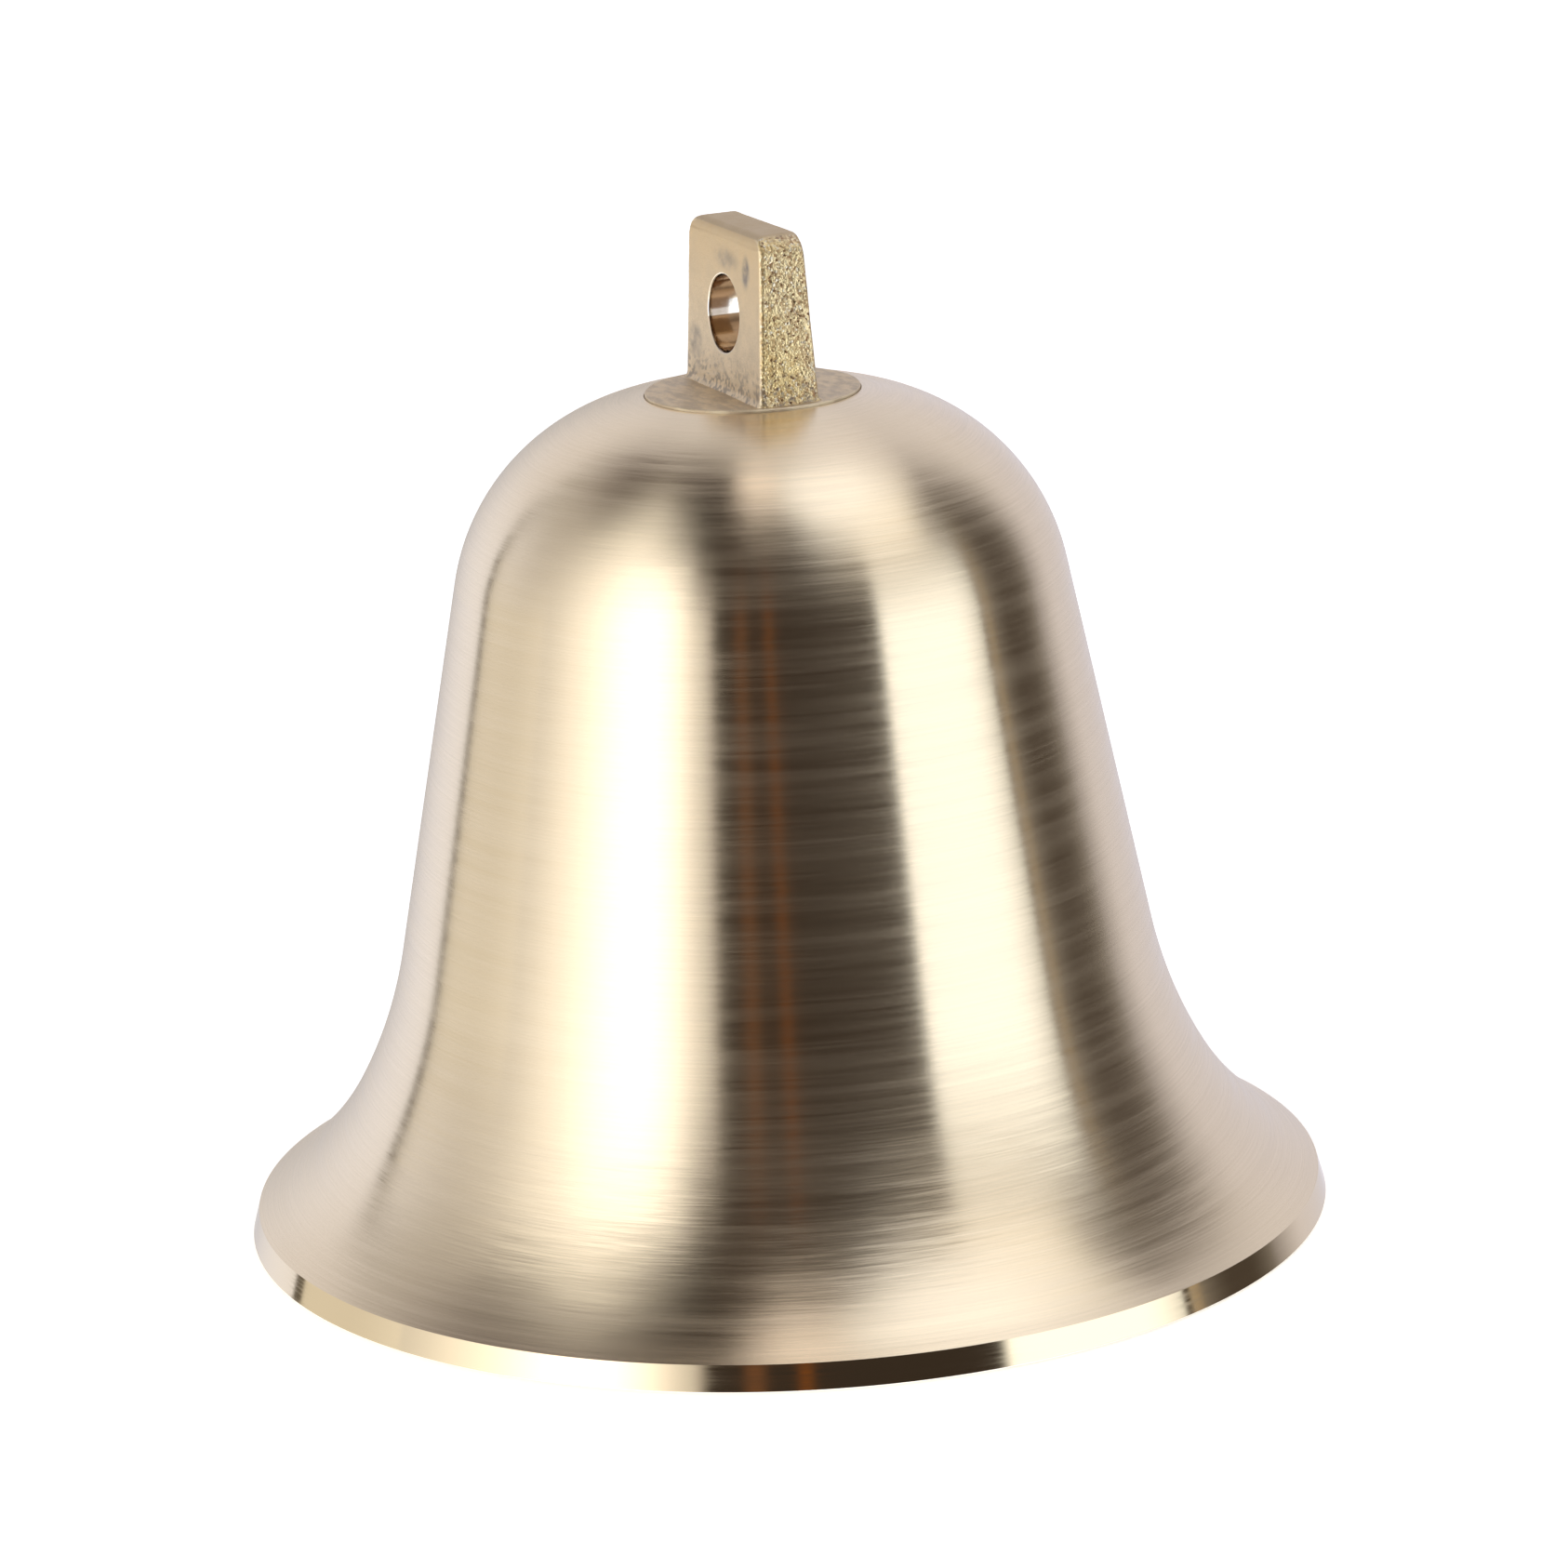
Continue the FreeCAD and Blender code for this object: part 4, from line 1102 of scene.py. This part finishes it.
def plate_section(look, steps):
    """One closed path from the hole's wall over the front face, the side and the back face.

    Each of its points has a share of the way from hole to outline, an offset beyond that share, the
    side of the plate from -1 to 1, an offset across the plate, and the kind of face: 0 hole wall,
    1 broad face, 2 side, with fractions on the rounded edges between them.
    """
    cosine, sine = quarter_round(5)
    hole, edge = look.hole_edge, look.edge
    face = np.linspace(0, 1, steps[0])
    side = np.linspace(-1, 1, steps[1])
    wall = np.linspace(1, -1, steps[2])
    flat = np.zeros

    def run(share, beyond, across, inset, kind):
        size = max(np.size(v) for v in (share, beyond, across, inset, kind))
        return np.stack([np.broadcast_to(v, size) for v in (share, beyond, across, inset, kind)])

    return np.concatenate(
        [
            run(face, flat(1), -1.0, 0.0, 1.0),
            run(1.0, edge * sine, -1.0, edge * (1 - cosine), 1 + sine),
            run(1.0, edge, side, -side * edge, 2.0),
            run(1.0, edge * cosine, 1.0, -edge * (1 - sine), 1 + cosine),
            run(face[::-1], flat(1), 1.0, 0.0, 1.0),
            run(0.0, -hole * sine, 1.0, -hole * (1 - cosine), 1 - sine),
            run(0.0, -hole, wall, -wall * hole, 0.0),
            run(0.0, -hole * cosine, -1.0, hole * (1 - sine), 1 - cosine),
        ],
        axis=1,
    )


def plate_points(look, flange_top, rounds, steps):
    """The lug's plate: its section carried round the hole, reaching out to the plate's outline.

    Gives the points, each point's kind of face, and each point's height above the flange.
    """
    sunk = 0.5 * MM
    turn = np.linspace(0, 2 * pi, rounds, endpoint=False)
    direction = np.stack([np.sin(turn), np.cos(turn)], -1)
    outline = plate_reach(look, direction, look.hole_height, look.hole_height + sunk)
    share, beyond, across, inset, kind = plate_section(look, steps)
    near = look.hole_radius + look.hole_edge
    far = outline[:, None] - look.edge
    reach = near + share[None] * (far - near) + beyond[None]
    x = reach * direction[:, :1]
    up = reach * direction[:, 1:] + look.hole_height
    draft = (look.base_thickness - look.top_thickness) / 2 / look.height
    half = look.base_thickness / 2 - draft * up
    y = across[None] * half + inset[None]
    points = np.stack([x, y, up + flange_top], -1)
    return points, np.broadcast_to(kind[None], x.shape), up


# The cast plate's unevenness: the cells of its coarse grain, its fine grain and its broad waves,
# how high a grain stands, how much higher on the sides and over the foot, and the waves' height.
COARSE_CELL = 0.34 * MM
FINE_CELL = 0.28 * MM
BROAD_CELL = 3.5 * MM
GRAIN_HEIGHT = 0.01 * MM
SIDE_HEIGHT = 0.012 * MM
FOOT_HEIGHT = 0.009 * MM
BROAD_HEIGHT = 0.03 * MM
PITTED_FOOT = 5 * MM
# The drill's feed and the depth of its mark in the hole, and the foot's cast fillet.
DRILL_FEED = 0.75 * MM
DRILL_MARK = 0.002 * MM
FILLET = 0.25 * MM
FILLET_RISE = 0.5 * MM


class BELL_OT_lug(Operator):
    """Draws the cast hanging lug: its drilled plate, its flange and its threaded stud"""

    bl_idname = "bell.lug"
    bl_label = "Hanging lug"

    def execute(self, context):
        look = context.scene.bell_lug
        material = sand_cast_brass(look)
        flange_top = LUG_HIGH.z - look.height
        self.plate(look, flange_top, material)
        self.flange(look, flange_top, material)
        self.stud(look, flange_top, material)
        return {"FINISHED"}

    def plate(self, look, flange_top, material):
        """The plate: grain stands out along the normals, coarse on the sides, fine on the faces,
        and the foot spreads into a small fillet."""
        rounds, steps = 560, (34, 56, 20)
        points, kind, up = plate_points(look, flange_top, rounds, steps)
        normal = grid_normals(points)
        side = eased(2 * kind - 2.6) * eased((np.abs(normal[..., 0]) - 0.25) / 0.3)
        bore = eased(1 - kind)
        pitting = eased(1 - up / PITTED_FOOT)
        coarse = grain_noise(points, COARSE_CELL, 3, 2)
        fine = grain_noise(points * np.array([0.5, 1, 1]), FINE_CELL, 11, 2)
        broad = grain_noise(points, BROAD_CELL, 23, 2)
        tool = np.sin(points[..., 1] * 2 * pi / DRILL_FEED) * DRILL_MARK
        height = GRAIN_HEIGHT + SIDE_HEIGHT * side + FOOT_HEIGHT * pitting * (1 - side)
        move = (height * np.where(side > 0.5, coarse, fine) + BROAD_HEIGHT * broad) * (1 - bore)
        fillet = FILLET * (1 - np.sqrt(np.clip(up / FILLET_RISE, 0, 1))) * eased(kind)
        outward = normal * np.array([1, 1, 0])
        outward = outward / np.maximum(np.linalg.norm(outward, axis=-1, keepdims=True), 0.3)
        placed = points + normal * (move + tool * bore)[..., None] + outward * fillet[..., None]
        placed = self.rounded_top(look, placed)
        limit_low = np.array([-LUG_HIGH.x, -LUG_HIGH.x, LUG_LOW.z])
        limit_high = np.array([LUG_HIGH.x, LUG_HIGH.x, LUG_HIGH.z])
        placed = np.clip(placed, limit_low, limit_high)
        u, v = np.meshgrid(
            np.linspace(0, 1, rounds + 1), np.linspace(0, 1, points.shape[1] + 1), indexing="ij"
        )
        mesh = grid_mesh("lug_plate", placed, np.stack([u, v], -1))
        edges = np.exp(-(((kind - 1.6) / 0.12) ** 2)) * eased(np.abs(points[..., 0]) / (4 * MM) - 1)
        uneven_share = edges * eased(0.5 + 0.9 * grain_noise(points, 0.5 * MM, 31, 3))
        write_attribute(mesh, "grain", side)
        write_attribute(mesh, "wear_and_highlight", np.clip(uneven_share, 0, 1))
        write_attribute(mesh, "relief", np.clip(0.5 + 0.5 * coarse, 0, 1))
        write_attribute(mesh, "bore", bore)
        write_attribute(mesh, "dirt", self.stains(points, normal, flange_top))
        low = eased(0.5 - (up - look.hole_height + 0.8 * MM) / (0.12 * MM))
        write_attribute(mesh, "grease", bore * low)
        place_piece(mesh, "bell", "hanging_lug", [material], sharp_degrees=50)

    def rounded_top(self, look, points):
        """Rounds the top's front edge: a point further than the radius from the line inside the
        edge, both forwards and upwards, is brought back to the radius."""
        radius = look.top_edge
        forward = -points[..., 1] - (look.top_thickness / 2 - radius)
        above = points[..., 2] - (LUG_HIGH.z - radius)
        away = np.hypot(forward, above)
        near = (forward > 0) & (above > 0) & (away > radius)
        share = np.where(near, radius / np.maximum(away, 1e-9), 1)
        moved = points.copy()
        moved[..., 1] += forward * (1 - share)
        moved[..., 2] -= above * (1 - share)
        return moved

    def stains(self, points, normal, flange_top):
        """Grey stains: on the top, over the foot, and in three patches on the front face beside the
        hole. A patch has a middle, half a width, half a height and a strength, and fades as the
        exponential of minus the fourth power of the distance from its middle."""
        top = 0.3 * eased((normal[..., 2] - 0.5) / 0.3)
        up = points[..., 2] - flange_top
        spots = eased(0.1 + 1.6 * grain_noise(points, 0.36 * MM, 41, 2))
        foot = 0.75 * eased(1.1 - up / (4 * MM)) * spots
        front = eased(-normal[..., 1])
        stain = np.maximum(top, foot)
        patches = (
            (5.0 * MM, 11.5 * MM, 0.75 * MM, 1.25 * MM, 0.85),
            (0.6 * MM, 12.1 * MM, 2.6 * MM, 0.9 * MM, 0.35),
            (-6.3 * MM, 3.7 * MM, 1.3 * MM, 1.5 * MM, 0.5),
        )
        for x, z, wide, tall, strength in patches:
            away = ((points[..., 0] - x) / wide) ** 2 + ((up - z) / tall) ** 2
            patchy = 1 + 0.7 * grain_noise(points, 0.7 * MM, 47)
            stain = np.maximum(stain, strength * front * np.exp(-(away**2)) * patchy)
        return np.clip(stain, 0, 1)

    def flange(self, look, flange_top, material):
        """The round flange, a little uneven on top as cast, with a painted highlight along its edge.
        """
        spacing = 0.16 * MM
        chamfer = 0.12 * MM
        bottom = flange_top - look.flange_thickness
        corners = np.array(
            [
                [0, bottom],
                [look.flange_radius, bottom],
                [look.flange_radius, flange_top - chamfer],
                [look.flange_radius - chamfer, flange_top],
                [0, flange_top],
            ]
        )
        spacings = (1 * MM, 0.3 * MM, 0.06 * MM, spacing)
        runs = [straight(a, b, s) for a, b, s in zip(corners, corners[1:], spacings)]
        outline = np.concatenate(runs + [corners[-1:]])
        points, uv = turned_grid(outline, steps=360)
        on_top = eased((points[..., 2] - flange_top + chamfer) / chamfer)
        radius = np.hypot(points[..., 0], points[..., 1])
        inner = eased((look.flange_radius - radius) / (0.6 * MM))
        cast = grain_noise(points, 0.6 * MM, 57) + 1.5 * grain_noise(points, 3 * MM, 61, 2)
        points[..., 2] -= 0.02 * MM * on_top * inner * (1.6 + cast)
        mesh = grid_mesh("lug_flange", points, uv, wrap_across=False)
        # Painted highlight: a thin bright ring painted along the flange's outer edge, broken up by
        # noise.
        rim = np.exp(-(((radius - look.flange_radius) / (0.08 * MM)) ** 2))
        streak = np.stack(
            [points[..., 0] * 0.35, points[..., 1], points[..., 2] * 0], -1
        )
        streaks = eased(0.5 + 0.6 * grain_noise(streak, 0.5 * MM, 71))
        write_attribute(mesh, "grain", 0 * radius)
        uneven_share = eased(0.45 + 0.8 * grain_noise(points, 1.6 * MM, 83, 2))
        write_attribute(mesh, "wear_and_highlight", 0.8 * rim * uneven_share)
        write_attribute(mesh, "relief", 0.5 + 0 * radius)
        write_attribute(mesh, "bore", 0 * radius)
        write_attribute(mesh, "grease", 0 * radius)
        write_attribute(mesh, "dirt", (0.05 + 0.34 * streaks) * (1 - rim))
        weld(mesh)
        place_piece(mesh, "bell", "hanging_lug", [material])

    def stud(self, look, flange_top, material):
        """The stud: a thread whose radius falls and rises with the height over the pitch, less the
        share of the turn, so that it climbs as a helix."""
        top = flange_top - look.flange_thickness + 0.2 * MM
        bottom = LUG_LOW.z
        mesh = threaded_rod_mesh("lug_stud", look.stud_radius, look.stud_pitch, bottom, top)
        for name in ("grain", "wear_and_highlight", "relief", "bore", "grease", "dirt"):
            write_attribute(mesh, name, np.full(len(mesh.vertices), 0.3 * (name == "relief")))
        place_piece(mesh, "bell", "hanging_lug", [material])


# A V thread's depth, as a share of its pitch.
THREAD_DEPTH = 0.61


def threaded_rod_mesh(name, crest, pitch, bottom, top):
    """A rod with a helical V thread, closed at both ends by points on the axis.

    The thread's full depth is multiplied by a wave of the height over the pitch less the share of
    the turn, and it fades out over the last turn at each end.
    """
    rounds, per_pitch = 48, 10
    count = int((top - bottom) / pitch * per_pitch)
    height = np.linspace(bottom, top, count)
    turn = np.linspace(0, 2 * pi, rounds, endpoint=False)[:, None]
    phase = (height[None] - bottom) / pitch - turn / (2 * pi)
    wave = np.abs((phase % 1) * 2 - 1)
    fade = eased((height - bottom) / pitch) * eased((top - height) / pitch)
    radius = crest - THREAD_DEPTH * pitch * wave * fade[None]
    radius = np.concatenate([np.zeros((rounds, 1)), radius, np.zeros((rounds, 1))], 1)
    height = np.concatenate([[bottom], height, [top]])
    up = np.broadcast_to(height[None], radius.shape)
    points = np.stack([radius * np.cos(turn), radius * np.sin(turn), up], -1)
    u = np.linspace(0, 1, rounds + 1)[:, None]
    v = np.append(height, height[-1])[None]
    uv = np.stack(np.broadcast_arrays(u, v), -1)
    mesh = grid_mesh(name, points, uv, wrap_across=False)
    weld(mesh)
    return mesh


class BELL_OT_clapper(Operator):
    """Draws the clapper's ball, bored for the stem and recessed below for its nut"""

    bl_idname = "bell.clapper"
    bl_label = "Clapper ball"

    def execute(self, context):
        look = context.scene.bell_clapper
        spacing = 0.35 * MM
        centre = look.ball_height
        seat = np.sqrt(look.ball_radius**2 - look.collar_radius**2)
        rim = np.sqrt(look.ball_radius**2 - look.recess_radius**2)
        start = -np.arcsin(rim / look.ball_radius)
        end = np.arcsin(seat / look.ball_radius)
        count = int(look.ball_radius * (end - start) / spacing)
        angle = np.linspace(start, end, count)
        globe = look.ball_radius * np.stack([np.cos(angle), np.sin(angle)], -1)
        globe = globe + np.array([0, centre])
        roof = centre - look.recess_roof
        corners = [
            globe[-1],
            np.array([look.ball_bore, globe[-1][1]]),
            np.array([look.ball_bore, roof]),
            np.array([look.recess_radius, roof]),
            globe[0],
        ]
        runs = [straight(a, b, 2 * spacing) for a, b in zip(corners, corners[1:])]
        outline = np.concatenate([globe[:-1], *runs])
        points, uv = turned_grid(outline, steps=160)
        mesh = grid_mesh("clapper_striking_ball", points, uv)
        place_piece(mesh, "clapper", "clapper_ball", [machined_brass(look)])
        return {"FINISHED"}


class BELL_OT_fittings(Operator):
    """Gives the washers, nuts, clevis, pin and stem their plated, turned and leather finishes"""

    bl_idname = "bell.fittings"
    bl_label = "Fittings"

    def execute(self, context):
        look = context.scene.bell_clapper
        brass = bpy.data.materials.get("brass_machined") or machined_brass(look)
        zinc = plated_steel(look)
        steel = turned_steel(look)
        finishes = {
            "crown_leather_washer": oiled_leather(look),
            "crown_flat_washer": zinc,
            "crown_lock_washer": zinc,
            "crown_nut": zinc,
            "clapper_clevis": brass,
            "pivot_pin": steel,
            "shim_front": brass,
            "shim_back": brass,
            "pivot_washer": zinc,
            "pivot_split_pin": zinc,
            "clapper_stem": steel,
            "clapper_bush": brass,
            "clapper_washer": zinc,
            "clapper_nut": zinc,
        }
        for node, material in finishes.items():
            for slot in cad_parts[node].material_slots:
                slot.material = material
        return {"FINISHED"}


# ---- studio --------------------------------------------------------------------------------------

# Cards of light and black flags round the bell, from behind the camera. Each has its azimuth from
# and to, right of the camera being positive, its elevation from and to, the softness of its upright
# and of its level edges, all in degrees, its brightness and its colour.
CARDS = (
    ("back wall, left", -146.6, -119, -90, 26, 37, 12, 1.5, "#E6EBFF"),
    ("back wall, right", 119, 200, -90, 24, 2, 2, 0.80, "#F1F0FF"),
    ("back, high, left", -200, -133, 16, 60, 7, 14, 0.86, "#F6F5FF"),
    ("back, high, right", 121, 200, 20, 72, 20, 10, 0.84, "#F4F3FF"),
    ("side wall, left", -124.5, -88.5, -90, 7, 0.8, 14, 0.76, "#FFFBF3"),
    ("gap in the left wall", -127, -123, -90, 40, 0.7, 8, 0.12, "#FFF2E0"),
    ("upper left", -150.2, -90, 46.1, 88.0, 0.7, 14, 0.04, "#FFB4A4"),
    ("dark ceiling, left", -101.2, -13.9, 42.6, 86.9, 11.7, 2, 0.02, "#FFE7D3"),
    ("large softbox, left", -67.5, -30, -90, 40, 15, 13, 2.3, "#FBFCFF"),
    ("softbox wing", -82, -60, -90, 65, 25, 3, 1.32, "#FEFEFF"),
    ("white table", -200, 200, -91, -22, 1, 7, 1.7, "#FFFFFF"),
    ("black behind the camera", -19.2, 46.6, -90, 68.3, 2.2, 8.8, 0.04, "#FFE5D4"),
    ("doorway", -10.5, -6.5, -90, 31.8, 1.4, 8.5, 0.15, "#FFB98A"),
    ("lamp strip", 0.4, 3.2, -90, 33.6, 1.0, 6.5, 0.17, "#FFA660"),
    ("softbox, right", 43.5, 91, -90, 21, 1.6, 12, 1.72, "#EEF5FF"),
    ("softbox top, right", 46.5, 100.0, 37.6, 55.5, 27.4, 2.0, 1.18, "#FFFDFB"),
    ("pole in the right softbox", 87.2, 89.6, -90, 44.3, 0.6, 4.4, 0.05, "#FFE1BC"),
    ("softbox edge, right", 89.4, 92.5, -90, 26, 0.8, 11.3, 0.90, "#FFEBCD"),
    ("black flag, right", 88.7, 122.5, -90, 48, 14, 2, 0.07, "#FFE9DB"),
    ("black behind the camera, high", -29, -14, 30, 66, 5, 7, 0.05, "#FFE5D4"),
    ("overhead softbox, right", 34.6, 122.2, 56.0, 90.6, 17.2, 10.9, 1.73, "#F1F5FF"),
    ("ceiling", -180.1, 180.1, 84, 91, 0.1, 2.5, 1.9, "#FFF6F6"),
)

# The brightness of the pale wall behind the cards, the floor's gap below the lip, and its own glow.
BACK_WALL = 0.52
FLOOR_GAP = 0.02 * MM
FLOOR_GLOW = 0.62


def studio_world(look):
    """The light from all round. Each card is a share of 1 within its azimuth and elevation, eases
    to 0 at its edges, and is blended over the ones before it. The camera sees plain white."""
    world = bpy.data.worlds.new("studio")
    bpy.context.scene.world = world
    world.use_nodes = True
    tree = world.node_tree
    tree.nodes.clear()
    way = add_node(tree, "ShaderNodeTexCoord").outputs["Generated"]
    turn = look.camera_azimuth
    rightwards = (np.cos(turn), np.sin(turn), 0)
    towards = (np.sin(turn), -np.cos(turn), 0)
    across = add_node(
        tree, "ShaderNodeVectorMath", {0: way, 1: rightwards}, operation="DOT_PRODUCT"
    )
    ahead = add_node(tree, "ShaderNodeVectorMath", {0: way, 1: towards}, operation="DOT_PRODUCT")
    angle = add_node(
        tree,
        "ShaderNodeMath",
        {0: across.outputs["Value"], 1: ahead.outputs["Value"]},
        operation="ARCTAN2",
    ).outputs[0]
    azimuth = add_node(
        tree, "ShaderNodeMath", {0: angle, 1: 180 / pi}, operation="MULTIPLY"
    ).outputs[0]
    up = add_node(tree, "ShaderNodeSeparateXYZ", {0: way}).outputs["Z"]
    rise = add_node(tree, "ShaderNodeMath", {0: up}, operation="ARCSINE").outputs[0]
    elevation = add_node(
        tree, "ShaderNodeMath", {0: rise, 1: 180 / pi}, operation="MULTIPLY"
    ).outputs[0]
    light = opaque(tuple(v * BACK_WALL / max(look.wall_light) for v in look.wall_light))
    for _, left, right, foot, head, soft_across, soft_up, brightness, tint in CARDS:
        share = None
        limits = ((azimuth, left, right, soft_across), (elevation, foot, head, soft_up))
        for value, low, high, soft in limits:
            rising = add_node(
                tree,
                "ShaderNodeMapRange",
                {0: value, 1: low - soft, 2: low + soft, 3: 0, 4: 1},
                interpolation_type="SMOOTHSTEP",
            ).outputs[0]
            falling = add_node(
                tree,
                "ShaderNodeMapRange",
                {0: value, 1: high - soft, 2: high + soft, 3: 1, 4: 0},
                interpolation_type="SMOOTHSTEP",
            ).outputs[0]
            both = add_node(
                tree, "ShaderNodeMath", {0: rising, 1: falling}, operation="MULTIPLY"
            ).outputs[0]
            if share is None:
                share = both
            else:
                share = add_node(
                    tree, "ShaderNodeMath", {0: share, 1: both}, operation="MULTIPLY"
                ).outputs[0]
        card = opaque(tuple(v * brightness for v in linear(tint)))
        light = add_node(
            tree, "ShaderNodeMix", {0: share, 6: light, 7: card}, data_type="RGBA"
        ).outputs[2]
    lit = add_node(tree, "ShaderNodeBackground", {0: light, 1: look.light})
    plain = add_node(tree, "ShaderNodeBackground", {0: (1, 1, 1, 1), 1: 1.0})
    seen = add_node(tree, "ShaderNodeLightPath").outputs["Is Camera Ray"]
    mixed = add_node(tree, "ShaderNodeMixShader", {0: seen, 1: lit.outputs[0], 2: plain.outputs[0]})
    output = add_node(tree, "ShaderNodeOutputWorld", {0: mixed.outputs[0]})
    return output


class BELL_OT_studio(Operator):
    """Sets up the pale floor, the soft light all round and the camera"""

    bl_idname = "bell.studio"
    bl_label = "Studio"

    def execute(self, context):
        look = context.scene.bell_studio
        scene = context.scene
        scene.view_settings.view_transform = "Standard"
        scene.view_settings.look = "None"
        studio_world(look)
        self.floor(look)
        self.camera(look)
        return {"FINISHED"}

    def floor(self, look):
        """A square of paper just under the lip, kept out of the bell's own reflections so that the
        cards light it from below the horizon as well."""
        half = look.floor_size / 2
        count = 9
        across = np.linspace(-half, half, count)
        x, y = np.meshgrid(across, across, indexing="ij")
        points = np.stack([x, y, np.full_like(x, -FLOOR_GAP)], -1)
        mesh = bpy.data.meshes.new("floor")
        index = np.arange(count * count).reshape(count, count)
        quads = np.stack([index[:-1, :-1], index[1:, :-1], index[1:, 1:], index[:-1, 1:]], -1)
        mesh.from_pydata(points.reshape(-1, 3), [], quads.reshape(-1, 4))
        mesh.materials.append(paper_floor(look))
        floor = bpy.data.objects.new("floor", mesh)
        bpy.context.scene.collection.objects.link(floor)
        floor.visible_glossy = False

    def camera(self, look):
        """The camera: its yaw and pitch turn the view, and its roll tilts the picture."""
        azimuth, yaw, pitch, roll = (
            look.camera_azimuth,
            look.camera_yaw,
            look.camera_pitch,
            look.camera_roll,
        )
        facing = Vector((np.sin(yaw) * np.cos(pitch), np.cos(yaw) * np.cos(pitch), -np.sin(pitch)))
        right = Vector((np.cos(yaw), -np.sin(yaw), 0))
        up = right.cross(facing)
        tilted_right = right * np.cos(roll) + up * np.sin(roll)
        tilted_up = up * np.cos(roll) - right * np.sin(roll)
        axes = Matrix((tilted_right, tilted_up, -facing)).transposed().to_4x4()
        axes.translation = Vector((0, -look.camera_distance, look.camera_height))
        data = bpy.data.cameras.new("camera")
        data.lens = look.lens
        data.sensor_width = 36
        data.clip_start = 0.01
        camera = bpy.data.objects.new("camera", data)
        camera.matrix_world = Matrix.Rotation(azimuth, 4, "Z") @ axes
        bpy.context.scene.collection.objects.link(camera)
        bpy.context.scene.camera = camera


# ---- add-on --------------------------------------------------------------------------------------


class BELL_PT_panel(Panel):
    """Lists the bell's pieces and their settings"""

    bl_idname = "BELL_PT_panel"
    bl_label = "Church bell"
    bl_space_type = "VIEW_3D"
    bl_region_type = "UI"
    bl_category = "Bell"

    def draw(self, context):
        for operator, settings in STEPS:
            box = self.layout.box()
            box.operator(operator.bl_idname)
            group = getattr(context.scene, settings)
            for name in group.__annotations__:
                box.prop(group, name)


SETTINGS = {
    "bell_body": BellBodySettings,
    "bell_lug": BellLugSettings,
    "bell_clapper": BellClapperSettings,
    "bell_studio": BellStudioSettings,
}
STEPS = (
    (BELL_OT_body, "bell_body"),
    (BELL_OT_lug, "bell_lug"),
    (BELL_OT_clapper, "bell_clapper"),
    (BELL_OT_fittings, "bell_clapper"),
    (BELL_OT_studio, "bell_studio"),
)
CLASSES = (*SETTINGS.values(), *(operator for operator, _ in STEPS), BELL_PT_panel)


def register():
    """Makes the settings, the operators and the panel known, and puts the settings in the scene."""
    for cls in CLASSES:
        bpy.utils.register_class(cls)
    for name, group in SETTINGS.items():
        setattr(bpy.types.Scene, name, PointerProperty(type=group))


def unregister():
    """Takes back what register did."""
    for name in SETTINGS:
        delattr(bpy.types.Scene, name)
    for cls in reversed(CLASSES):
        bpy.utils.unregister_class(cls)


def main():
    """Draws everything in order."""
    register()
    bpy.ops.bell.body()
    bpy.ops.bell.lug()
    bpy.ops.bell.clapper()
    bpy.ops.bell.fittings()
    bpy.ops.bell.studio()


if __name__ == "__main__":
    main()
